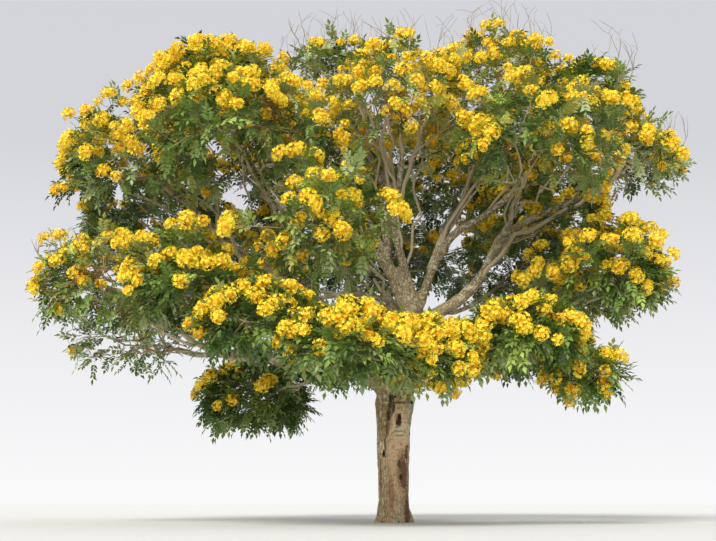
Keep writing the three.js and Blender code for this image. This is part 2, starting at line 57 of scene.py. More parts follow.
LOG = logging.getLogger("markhamia")
UP = np.array((0.0, 0.0, 1.0))
GRAIN = "grain"  # what a mesh keeps for its bark: across, over and along the limb, in metres
SEED = 41  # of the twigs' small bends
CURVE_STEPS = 24  # from one knot of a smooth line to the next
# Steps that spread numbers evenly from 0 to 1: one at a time, in pairs and in threes.
GOLDEN = 0.618034
PAIR_STEPS = (0.7548776662, 0.5698402910)
THREE_STEPS = (0.8191725134, 0.6710436067, 0.5497004779)


def paint(red: int, green: int, blue: int) -> Colour:
    """A colour of a painter's chart for a shader, by the usual curve of a screen.

    Args:
        red: its red, 0 to 255.
        green: its green.
        blue: its blue.

    Returns:
        The colour as light, with full cover.
    """
    shares = [part / 255 for part in (red, green, blue)]
    light = [x / 12.92 if x < 0.04045 else ((x + 0.055) / 1.055) ** 2.4 for x in shares]
    return (*light, 1.0)


def unit(ways: Array) -> Array:
    """Directions, each with a length of one."""
    return ways / np.maximum(np.linalg.norm(ways, axis=-1, keepdims=True), 1e-9)


def between(low: float | Array, high: float | Array, share: float) -> float | Array:
    """The value this share of the way from low to high."""
    return low + (high - low) * share


def fraction(number: float) -> float:
    """What is left of a number past its whole part."""
    return number - math.floor(number)


def eased(share: Array) -> Array:
    """A share from 0 to 1 that starts and ends gently."""
    held = np.clip(share, 0, 1)
    return held * held * (3 - 2 * held)


def smooth_line(knots: Array, count: int) -> Array:
    """Points spread evenly along a smooth curve.

    Args:
        knots: the places that the curve passes through, as (knots, 3).
        count: how many points to give.

    Returns:
        The points, as (count, 3).
    """
    held = np.vstack([2 * knots[0] - knots[1], knots, 2 * knots[-1] - knots[-2]])
    t = np.linspace(0, 1, CURVE_STEPS, endpoint=False)[:, None]
    stretches = []
    for before, start, end, after in zip(held, held[1:], held[2:], held[3:]):
        pairs = ((before, start), (start, end), (end, after))
        first, middle, last = (np.linalg.norm(b - a) ** 0.5 for a, b in pairs)
        into = (start - before) / first - (end - before) / (first + middle) + (end - start) / middle
        out = (end - start) / middle - (after - start) / (middle + last) + (after - end) / last
        stretches.append((2 * t**3 - 3 * t**2 + 1) * start + (t**3 - 2 * t**2 + t) * into * middle
                         + (3 * t**2 - 2 * t**3) * end + (t**3 - t**2) * out * middle)
    fine = np.vstack([*stretches, knots[-1]])
    run = np.concatenate([[0], np.cumsum(np.linalg.norm(np.diff(fine, axis=0), axis=1))])
    even = np.linspace(0, run[-1], count)
    return np.stack([np.interp(even, run, fine[:, axis]) for axis in range(3)], -1)


def gaps_between(start: Array, end: Array, starts: Array, ends: Array) -> Array:
    """The shortest distance from one straight stretch to each of many.

    Args:
        start: where the one stretch starts.
        end: where it ends.
        starts: where the many start, as (many, 3).
        ends: where they end.

    Returns:
        One distance for each of the many.
    """
    own = end - start
    theirs = ends - starts
    lag = start - starts
    own_sq = own @ own
    their_sq = (theirs * theirs).sum(1)
    cross = theirs @ own
    own_lag = lag @ own
    their_lag = (theirs * lag).sum(1)
    even = np.maximum(own_sq * their_sq - cross**2, 1e-9)
    u = np.clip((cross * their_lag - their_sq * own_lag) / even, 0, 1)
    v = np.clip((cross * u + their_lag) / their_sq, 0, 1)
    u = np.clip((cross * v - own_lag) / own_sq, 0, 1)
    return np.linalg.norm(lag + u[:, None] * own - v[:, None] * theirs, axis=1)


def squared(ways: Array, guides: Array) -> Array:
    """Each direction's own frame: across it, over it and along it.

    Args:
        ways: the directions, as (many, 3).
        guides: what across is kept square to, as (many, 3).

    Returns:
        The frames, as (many, 3, 3), a direction to a row.
    """
    along = unit(ways)
    across = unit(np.cross(guides, along))
    return np.stack([across, np.cross(along, across), along], 1)


def stamped(corners: Array, roots: Array, frames: Array, sizes: Array) -> Array:
    """Copies of a small form.

    Args:
        corners: the form's corners, as (corners, 3), in across, over and along.
        roots: where each copy starts.
        frames: each copy's frame, from squared.
        sizes: each copy's scale.

    Returns:
        The copies' corners, as (copies, corners, 3).
    """
    return roots[:, None] + np.einsum("kj,nji->nki", corners, frames) * sizes[:, None, None]


def repeated(faces: Array, copies: int, corners: int) -> Array:
    """One form's faces, numbered again for each of its copies."""
    return (faces[None] + (np.arange(copies) * corners)[:, None, None]).reshape(-1, faces.shape[1])


def rods(lines: Array, guides: Array, widths: Array) -> tuple[Array, Array]:
    """Round rods along many lines at once.

    Args:
        lines: the rods' middles, as (rods, rings, 3).
        guides: a direction for each rod that its rings are squared to.
        widths: half widths, as (rods, rings, sides).

    Returns:
        The corners, as (corners, 3), and their four-cornered faces.
    """
    sides = widths.shape[2]
    ways = unit(np.gradient(lines, axis=1))
    left = unit(np.cross(guides[:, None], ways))
    over = np.cross(ways, left)
    turns = np.arange(sides) * math.tau / sides
    spokes = (left[:, :, None] * np.cos(turns)[:, None]
              + over[:, :, None] * np.sin(turns)[:, None])
    corners = lines[:, :, None] + spokes * widths[..., None]
    grid = np.arange(widths.size).reshape(widths.shape)
    low = grid[:, :-1]
    high = grid[:, 1:]
    faces = np.stack([low, np.roll(low, -1, 2), np.roll(high, -1, 2), high], -1)
    return corners.reshape(-1, 3), faces.reshape(-1, 4)


class Pile:
    """Corners and faces that are gathered, then made into one mesh."""

    def __init__(self) -> None:
        """Starts with nothing."""
        self.corners: list[Array] = []
        self.faces: list[Array] = []
        self.tints: list[Array] = []
        self.count = 0

    def add(self, corners: Array, faces: Array, tints: Array | int = 0) -> None:
        """Adds some faces.

        Args:
            corners: their corners, as (corners, 3).
            faces: the numbers of each face's corners.
            tints: the finish that each face takes, or that all take.
        """
        self.faces.append(faces + self.count)
        self.corners.append(corners)
        self.tints.append(np.broadcast_to(tints, len(faces)))
        self.count += len(corners)

    def mesh(self, name: str) -> bpy.types.Mesh:
        """Makes the mesh of what was gathered.

        Args:
            name: the mesh's name, and its piece's.

        Returns:
            The mesh.
        """
        made = bpy.data.meshes.new(name)
        sizes = np.concatenate([np.full(len(faces), faces.shape[1]) for faces in self.faces])
        loops = np.concatenate([faces.ravel() for faces in self.faces])
        made.vertices.add(self.count)
        made.vertices.foreach_set("co", np.concatenate(self.corners).astype(np.float32).ravel())
        made.loops.add(len(loops))
        made.loops.foreach_set("vertex_index", loops.astype(np.int32))
        made.polygons.add(len(sizes))
        made.polygons.foreach_set("loop_start", (np.cumsum(sizes) - sizes).astype(np.int32))
        made.polygons.foreach_set("material_index", np.concatenate(self.tints).astype(np.int32))
        made.update(calc_edges=True)
        return made


def rows_of(parts: bpy.types.bpy_prop_collection, name: str) -> Array:
    """Three numbers from each of a mesh's parts.

    Args:
        parts: the parts, such as its corners.
        name: the name of the numbers.

    Returns:
        The numbers, as (parts, 3).
    """
    found = np.empty(len(parts) * 3, np.float32)
    parts.foreach_get(name, found)
    return found.reshape(-1, 3).astype(float)


def moulded(mesh: bpy.types.Mesh, places: Array, grain: Array) -> None:
    """Moves a mesh's corners and keeps the bark's directions on it.

    Args:
        mesh: the mesh.
        places: where its corners go.
        grain: where they lie on their limb: across, over and along it.
    """
    mesh.vertices.foreach_set("co", places.astype(np.float32).ravel())
    kept = mesh.attributes.new(GRAIN, "FLOAT_VECTOR", "POINT")
    kept.data.foreach_set("vector", grain.astype(np.float32).ravel())


def smoothed(mesh: bpy.types.Mesh) -> bpy.types.Mesh:
    """Shades a mesh's faces as one skin.

    Args:
        mesh: the mesh.

    Returns:
        The same mesh.
    """
    mesh.polygons.foreach_set("use_smooth", np.ones(len(mesh.polygons), bool))
    mesh.update()
    return mesh


def shown(mesh: bpy.types.Mesh, finishes: Sequence[bpy.types.Material]) -> bpy.types.Object:
    """Puts a mesh in the scene.

    Args:
        mesh: the mesh.
        finishes: its materials, in the order of its faces' tints.

    Returns:
        The piece, named as its mesh.
    """
    for finish in finishes:
        mesh.materials.append(finish)
    piece = bpy.data.objects.new(mesh.name, mesh)
    bpy.context.scene.collection.objects.link(piece)
    return piece


def settle(piece: bpy.types.Object, nodes: Sequence[str] = ()) -> None:
    """Fixes a piece to the tree, hides the solids that it stands for and logs how many there are.

    Args:
        piece: the piece.
        nodes: the solids that it replaces.
    """
    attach(piece, "root")
    if nodes:
        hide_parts(*nodes)
    faces = sum(len(face.vertices) - 2 for face in piece.data.polygons)
    LOG.info("%s: %d triangles, stands for %d solids", piece.name, faces, len(nodes))


class Wire:
    """A shader value that takes part in sums, each of which adds its Math node."""

    def __init__(self, nodes: "Nodes", socket: bpy.types.NodeSocket) -> None:
        """Wraps one output socket."""
        self.nodes = nodes
        self.socket = socket

    def _sum(self, operation: str, first: "Wire | float", second: "Wire | float") -> "Wire":
        """Adds the Math node of one operation."""
        return self.nodes.node("ShaderNodeMath", {"operation": operation}, {0: first, 1: second})

    def __add__(self, other: "Wire | float") -> "Wire":
        """This value and another together."""
        return self._sum("ADD", self, other)

    __radd__ = __add__

    def __sub__(self, other: "Wire | float") -> "Wire":
        """This value less another."""
        return self._sum("SUBTRACT", self, other)

    def __rsub__(self, other: "Wire | float") -> "Wire":
        """Another value less this one."""
        return self._sum("SUBTRACT", other, self)

    def __mul__(self, other: "Wire | float") -> "Wire":
        """This value times another."""
        return self._sum("MULTIPLY", self, other)

    __rmul__ = __mul__


class Nodes:
    """Adds nodes to one material or world."""

    def __init__(self, owner: bpy.types.Material | bpy.types.World) -> None:
        """Opens the node tree of its owner."""
        owner.use_nodes = True
        self.tree = owner.node_tree

    def feed(self, socket: bpy.types.NodeSocket, value: object) -> None:
        """Links a wire to a socket, or sets the socket's own value.

        Args:
            socket: the input.
            value: the wire or value that it takes.
        """
        if isinstance(value, Wire):
            self.tree.links.new(value.socket, socket)
        else:
            socket.default_value = value

    def node(self, kind: str, settings: dict[str, object] | None = None,
             sockets: dict[str | int, object] | None = None, out: str | int = 0) -> Wire:
        """Adds one node.

        Args:
            kind: the node's type.
            settings: its settings, which are set first; stops are a ramp's places and colours.
            sockets: the values or wires of its inputs.
            out: the output that is wanted.

        Returns:
            That output.
        """
        made = self.tree.nodes.new(kind)
        for name, value in (settings or {}).items():
            if name == "stops":
                self._set_stops(made.color_ramp.elements, value)
            else:
                setattr(made, name, value)
        for key, value in (sockets or {}).items():
            self.feed(made.inputs[key], value)
        return Wire(self, made.outputs[out])

    @staticmethod
    def _set_stops(elements: bpy.types.ColorRampElements,
                   stops: Sequence[tuple[float, Colour]]) -> None:
        """Gives a ramp its stops.

        Args:
            elements: the ramp's own stops.
            stops: the place and colour of each one.
        """
        while len(elements) < len(stops):
            elements.new(1.0)
        for element, (place, colour) in zip(elements, stops):
            element.position = place
            element.color = colour

    def mix(self, share: Wire, first: "Wire | Colour", second: "Wire | Colour") -> Wire:
        """One colour passing into another."""
        return self.node("ShaderNodeMix", {"data_type": "RGBA"},
                         {0: share, 6: first, 7: second}, 2)

    def stretched(self, place: Wire, shift: Point, scale: Point) -> Wire:
        """A place, moved and then scaled along each axis."""
        moved = self.node("ShaderNodeVectorMath", {"operation": "SUBTRACT"}, {0: place, 1: shift})
        return self.node("ShaderNodeVectorMath", {"operation": "MULTIPLY"}, {0: moved, 1: scale})

    def speckle(self, place: Wire, scale: float, detail: float, roughness: float = 0.6) -> Wire:
        """Noise around a half at a place."""
        return self.node("ShaderNodeTexNoise", None, {
            "Vector": place, "Scale": scale, "Detail": detail, "Roughness": roughness})

    def step(self, value: Wire, low: float, high: float) -> Wire:
        """0 below low and 1 above high, or the other way round, with a soft edge."""
        return self.node("ShaderNodeMapRange", {"interpolation_type": "SMOOTHSTEP"},
                         {0: value, 1: low, 2: high, 3: 0.0, 4: 1.0})


@dataclass(frozen=True)
class PlainFinish:
    """One plain colour with its own sheen, for a leaf, petal or twig, or for the floor."""

    name: str
    colour: Colour
    roughness: float

    def material(self) -> bpy.types.Material:
        """Makes the material.

        Returns:
            The material.
        """
        made = bpy.data.materials.new(self.name)
        nodes = Nodes(made)
        skin = nodes.tree.nodes["Principled BSDF"]
        nodes.feed(skin.inputs["Base Color"], self.colour)
        nodes.feed(skin.inputs["Roughness"], self.roughness)
        return made


@dataclass(frozen=True)
class StainAndShade:
    """A patch of bark with a colour of its own, broken up by the bark's speckle.

    fray is how much the speckle eats into it where it is dense, or where it is thin if fray is
    below zero. A patch that only hides cracks has no colour. The dark patches in hollows, grooves and
    creases, and those that darken the high limbs, are painted shade; the others are the bark's own.
    """

    middle: Point
    reach: Point
    colour: Colour | None
    strength: float = 1.0
    fray: float = 0.9
    edge: Span = (0.62, 1.0)  # where it fades, from its middle out

    def cover(self, nodes: Nodes, place: Wire, speckle: Wire) -> Wire:
        """How far it covers each place.

        Args:
            nodes: the material's nodes.
            place: the place.
            speckle: what frays its edge, around a half.

        Returns:
            0 to 1.
        """
        scale = tuple(1 / reach for reach in self.reach)
        near = nodes.stretched(place, self.middle, scale)
        away = nodes.node("ShaderNodeVectorMath", {"operation": "LENGTH"}, {0: near}, "Value")
        return self.strength * (1 - nodes.step(away + self.fray * (speckle - 0.5), *self.edge))


@dataclass(frozen=True)
class BarkFinish:
    """Rough bark, cracked along the limb, weathered and spotted with lichen.

    grounds_and_shade lie under the fibres and cracks, and stains_and_shade over them: real stains,
    and painted shade in hollows, grooves and creases and over the high limbs. smooth is where the bark
    has hardly any cracks. A grain is how many of a speckle's spots go to a metre, and its detail.
    """

    name: str
    pale: Colour
    dull: Colour
    # the cracks' colour: partly the bark's own darker colour, partly painted shade in the cracks
    crack: Colour
    lichen: Colour
    plate: float  # between two cracks, in metres
    lichen_share: float
    crack_share: float = 0.6
    relief: float = 0.6
    grounds_and_shade: tuple[StainAndShade, ...] = ()
    stains_and_shade: tuple[StainAndShade, ...] = ()
    smooth: StainAndShade | None = None
    drawn: Point = (1.0, 1.0, 0.2)  # how the bark is drawn out along the limb
    stray_scale: float = 30.0
    stray: float = 0.03  # how far the cracks stray
    crack_width: float = 0.16
    fibre_grain: Span = (95.0, 4.0)
    weather_grain: Span = (2.6, 4.0)
    mottle_grain: Span = (16.0, 4.0)
    lichen_grain: Span = (11.0, 5.0)
    grit_grain: Span = (34.0, 5.0)
    weather_share: float = 0.6  # of what makes bark pale or dull, and the mottle has the rest
    pale_edge: Span = (0.4, 0.6)
    fibre_edge: Span = (0.45, 0.7)
    fibre_cover: float = 0.45
    lichen_weather: float = 0.25  # how much weathering adds to the lichen
    lichen_edge: Span = (0.74, 0.80)
    lichen_cover: float = 0.6
    height: float = 0.02  # of the relief, in metres
    bumps: Point = (0.6, 0.3, 0.15)  # shares of cracks, fibres and mottle in it
    roughness: Span = (0.78, 0.2)  # the least, and what fibres add

    def material(self) -> bpy.types.Material:
        """Makes the material.

        Returns:
            The material.
        """
        made = bpy.data.materials.new(self.name)
        nodes = Nodes(made)
        skin = nodes.tree.nodes["Principled BSDF"]
        grain = nodes.node("ShaderNodeAttribute", {"attribute_name": GRAIN}, None, "Vector")
        place = nodes.node("ShaderNodeTexCoord", None, None, "Object")
        drawn = nodes.stretched(grain, (0.0, 0.0, 0.0), self.drawn)
        strayed = nodes.node("ShaderNodeVectorMath", {"operation": "MULTIPLY_ADD"}, {
            0: nodes.node("ShaderNodeTexNoise", None, {"Vector": drawn, "Scale": self.stray_scale}, 1),
            1: (self.stray,) * 3, 2: drawn})
        edge = nodes.node("ShaderNodeTexVoronoi", {"feature": "DISTANCE_TO_EDGE"},
                          {"Vector": strayed, "Scale": 1 / self.plate})
        crack = 1 - nodes.step(edge, 0.0, self.crack_width)
        fibre = nodes.speckle(drawn, *self.fibre_grain)
        weather = nodes.speckle(place, *self.weather_grain)
        mottle = nodes.speckle(grain, *self.mottle_grain)
        grit = nodes.speckle(grain, *self.grit_grain)
        spots = nodes.step(nodes.speckle(grain, *self.lichen_grain) + self.lichen_weather * weather,
                           *(edge_at - self.lichen_share for edge_at in self.lichen_edge))
        if self.smooth:
            crack = crack * (1 - self.smooth.cover(nodes, place, mottle))
        wear = self.weather_share * weather + (1 - self.weather_share) * mottle
        colour = nodes.mix(nodes.step(wear, *self.pale_edge), self.dull, self.pale)
        for ground in self.grounds_and_shade:
            colour = nodes.mix(ground.cover(nodes, place, mottle), colour, ground.colour)
        colour = nodes.mix(self.fibre_cover * nodes.step(fibre, *self.fibre_edge), colour, self.dull)
        colour = nodes.mix(self.lichen_cover * spots, colour, self.lichen)
        # darker in the cracks: partly the bark's own colour, partly painted shade in them
        colour = nodes.mix(self.crack_share * crack, colour, self.crack)
        # real stains, and painted shade in hollows, grooves and creases and over the high limbs
        for stain_or_shade in self.stains_and_shade:
            colour = nodes.mix(stain_or_shade.cover(nodes, place, grit), colour, stain_or_shade.colour)
        deep, fine, soft = self.bumps
        relief = nodes.node("ShaderNodeBump", None, {
            "Strength": self.relief, "Distance": self.height,
            "Height": deep * edge + fine * fibre + soft * mottle})
        least, more = self.roughness
        nodes.feed(skin.inputs["Base Color"], colour)
        nodes.feed(skin.inputs["Roughness"], least + more * fibre)
        nodes.feed(skin.inputs["Normal"], relief)
        return made


# The trunk's middle line, and its half widths at heights above the ground.
TRUNK_LINE = ((0, 0, 0), (0.01, 0, 0.9), (0.05, 0, 1.8), (0.17, 0.02, 2.5), (0.33, 0.03, 3.1))
TRUNK_GIRTH = ((0, 0.3), (0.1, 0.25), (0.3, 0.218), (0.8, 0.232), (1.35, 0.25), (1.75, 0.285),
               (2.05, 0.245), (2.5, 0.195), (2.9, 0.175), (3.1, 0.12))
FLARE_TOES = 5  # root ridges that run into the ground
FLARE_DEPTH = 0.16  # of the half width, at the ground
FLARE_HEIGHT = 0.35
FLARE_TURN = 0.6
SMOOTH_FACE = ((0.1, -0.22, 1.0), (0.2, 0.2, 0.85))  # of the main column: middle and reach

# Slow swellings: how large, how often round and how fast along a limb, and by how much of its phase.
TRUNK_SWELLS = ((0.03, 3, 2.1, 0.7), (0.02, 5, -1.6, 0))
BOUGH_SWELLS = ((0.05, 2, 1.9, 1), (0.04, 3, -2.7, 0), (0.05, 0, 5.1, 2))

# Times small whole numbers, a seed gives chances that don't follow each other.
BOUGH_SEED = 0.37
BOUGH_WAVER = 0.022  # of its length
BOUGH_BEATS = (1.7, 1.3)  # how often it wavers up and aside
BOUGH_STEP = 0.52
BOUGH_LEAST_STEPS = 4
COLLAR = 0.35  # how much wider a bough starts, as a share of its half width
COLLAR_LENGTH = 2.2  # of its half width
TIP_SHARE = 0.42  # a bough's tip against its foot
TAPER = 0.85  # below 1 it thins soon
KNOTS = 1.2  # scars of lost branches to a metre of bough
KNOT_HEIGHT = 0.22  # of its half width
KNOT_ROUND = 6  # more is narrower round the bough
KNOT_LENGTH = 1.1  # of its half width

MASS_SEED = 0.173
ENTRY = 0.82  # of the way from a mass's heart to its edge, where its bough ends
ENTRY_STEPS = (1.0, 0.02, -0.02)  # the ways that are tried, as shares
TWIG_REACH = 0.78  # how far out twigs go in a mass
TWIG_FILL = 1.22  # and where that is still inside the crown's dome
TWIG_INNER = 0.42
DOME = ((-0.5, 0, 4.6), (4.65, 4.2, 2.86))  # the crown's dome: middle and half sizes
DOME_POWER = 2.6  # 2 is round, and more is flatter on top
DOME_UNDERSIDE = 1.5  # its half height below its middle
FLATNESS = 1.35  # masses share out the space as if they were this much taller
CLEAR = 0.012  # between what two masses hold
ENTRY_CLEAR = 6 * CLEAR  # round the place where a bough ends
EDGE = 0.05  # between a twig's tip and the next mass's space
LIMB_GAP = 0.01  # between a twig and a limb that isn't its own
STRETCHES = 12  # that stand for a limb when gaps are measured
SEATS = 90  # places along a limb that a corner may belong to
LIMB_SHIFT = 7.3  # metres between two limbs' bark, so that no two look alike

# Open spaces where few twigs end, as lowest and highest corners: before the main fork, before the
# limbs of the left shoulder and before the fork of the long right limb.
WINDOWS = (((-0.45, -9, 3), (0.75, -0.9, 5.2)), ((-2.6, -9, 3.35), (-1.35, -1.2, 4.45)),
           ((0.75, -9, 3.7), (2.75, -0.7, 4.8)))
WINDOW_SHARE = 0.2  # of the twigs that would end in one, all in flower
WINDOW_STEP = 0.3819  # spreads them

TIPS = 78  # twigs of a mass of one metre half width
TIPS_POWER = 0.75  # of its width times its depth
TWIG_TIP = 0.0042
PATH_WEIGHT = 0.35  # what length behind a fork costs against length ahead of it
BEND = 0.16  # how far a twig keeps on the way of the one that it leaves
BOUGH_FORKS = (0.38, 0.5, 0.62, 0.72, 0.82, 0.91)  # how far up a bough its own twigs leave it
ROOT_DEPTH = 0.8  # of its half width, how deep in the bough's tip the first stem starts
STEM_FORKS = (0.24, 0.68)  # how far up a bough its first and last thin limb leave it
STEM_FOOT = 0.2  # of a thin limb, which may lie against other limbs
STEM_REACH = 0.55  # how far out in a mass they end
STEM_FALL = 0.15  # against how far they go out
STEM_THINNING = 0.87  # thinner limbs than those that would fill the bough's tip

BARE_FORKS = 36  # dead shoots for each one of the solids
SHOOT_STEPS = (0.7549, 0.5698)  # spread them outwards and in height
SHORTEST_SHOOT = 0.72  # of the highest one's height above the heart
SHOOT_FALL = 0.22  # how much lower the outer ones stand
LEAST_RISE = 0.15
ASIDE = 2.5  # what going aside costs a dead shoot against rising

LIT_FROM = 0.38  # how far out from a heart the light begins
LIT_DEPTH = 0.3  # and how much further it is full
LIT_RISE = 0.9  # and how much higher than where a mass starts to flower
BLOOM_SHARE = 1.12
DARK_BLOOM = 0.08  # of the flowers that a twig in full light has


@dataclass(frozen=True)
class Mark:
    """A hollow in the trunk's side, or a swelling where its depth is below zero."""

    turn: float
    height: float
    wide: float
    tall: float
    depth: float
    sag: float = 0.0  # how much higher its ends are

    def cut(self, degrees: Array, up: Array) -> Array:
        """How deep the mark goes.

        Args:
            degrees: turns round the trunk.
            up: heights above the ground.

        Returns:
            The depth at each of them.
        """
        off = (degrees - self.turn + 540) % 360 - 180
        above = up - self.height - self.sag * (off / self.wide) ** 2
        return self.depth * np.exp(-((off / self.wide) ** 2) - (above / self.tall) ** 2)


# Turns in degrees from the trunk's right round to its back, heights, reaches round in degrees and
# up, and depths.
TRUNK_MARKS = (
    Mark(255, 1.72, 12, 0.12, 0.12),  # the furrow between the left column and the rest
    Mark(252, 1.55, 8, 0.13, 0.075),
    Mark(248, 1.38, 6, 0.14, 0.05),  # the seam that it runs down into
    Mark(242, 1.18, 6, 0.14, 0.035),
    Mark(221, 0.7, 5, 0.26, 0.02),
    Mark(284, 1.47, 8, 0.085, 0.12),  # the knothole
    Mark(281, 1.36, 9, 0.03, 0.03),
    Mark(284, 1.47, 15, 0.14, -0.022),
    Mark(283, 1.32, 19, 0.022, -0.018, 0.02),  # the lips healed under it
    Mark(283, 1.283, 18, 0.012, 0.02, 0.02),
    Mark(283, 1.255, 20, 0.014, -0.012, 0.016),
    Mark(283, 1.222, 19, 0.011, 0.018, 0.014),
    Mark(283, 1.19, 21, 0.016, -0.01, 0.01),
    Mark(308, 0.7, 20, 0.26, 0.03),  # the strip of rot
    Mark(300, 0.62, 7, 0.07, 0.03),
    Mark(312, 0.85, 7, 0.06, 0.025),
    Mark(318, 0.2, 10, 0.3, 0.025),
    Mark(266, 0.42, 4, 0.14, 0.018),
    Mark(256, 0.5, 4, 0.2, 0.012),
    Mark(216, 1.05, 12, 0.07, -0.045),  # the knob on the left and the hole under it
    Mark(231, 0.975, 6, 0.05, 0.055),
    Mark(292, 1.82, 34, 0.075, -0.035),  # the old stub's collar, and the ledge under it
    Mark(290, 1.715, 30, 0.014, 0.03),
    Mark(301, 1.84, 6, 0.035, 0.04),
    Mark(276, 1.8, 5, 0.03, 0.03),
    Mark(328, 1.74, 5, 0.03, 0.05),
    Mark(322, 1.27, 4, 0.02, 0.03),
)


class Leafage(Enum):
    """How a mass is clothed: leaves to a twig, then the shares of each of the leaves' colours."""

    FULL = (9, (0.20, 0.42, 0.16, 0.12, 0.09, 0.01))
    SHADE = (11, (0.36, 0.38, 0.16, 0.08, 0.02, 0.0))
    THIN = (5, (0.06, 0.26, 0.28, 0.24, 0.14, 0.02))
    WORN = (6, (0.16, 0.28, 0.20, 0.20, 0.08, 0.08))
    SPARSE = (2, (0.20, 0.30, 0.20, 0.16, 0.06, 0.08))

    def __init__(self, leaves: int, shares: tuple[float, ...]) -> None:
        """Takes a kind's numbers apart.

        Args:
            leaves: how many leaves a twig has.
            shares: the shares of deep, mid, grey, olive, young and russet leaves.
        """
        self.leaves = leaves
        self.shares = shares


@dataclass(frozen=True)
class Plan:
    """One bough and the mass of foliage at its tip.

    carrier and along are the limb that it grows from and how far up that limb. heart and half are
    the mass's middle and half sizes, right, back and up. girth is the bough's half width at its
    foot. bow and kink bend it, once and as an S, up and to its left, as shares of its length.
    bloom is the share of its twigs in flower, and bare counts the dead shoots above it. low is how
    far down its sides it flowers, shoots how high the dead ones stand, in half sizes, stems counts
    the thin limbs that leave the bough below its tip, and under is how far below the heart twigs go.
    """

    name: str
    carrier: str
    along: float
    heart: Point
    half: Point
    girth: float
    bow: Span
    kink: Span = (0.03, 0.02)
    bloom: float = 0.5
    bare: int = 0
    leafage: Leafage = Leafage.FULL
    low: float = 0.5
    shoots: float = 1.36
    stems: int = 2
    under: float = 0.72


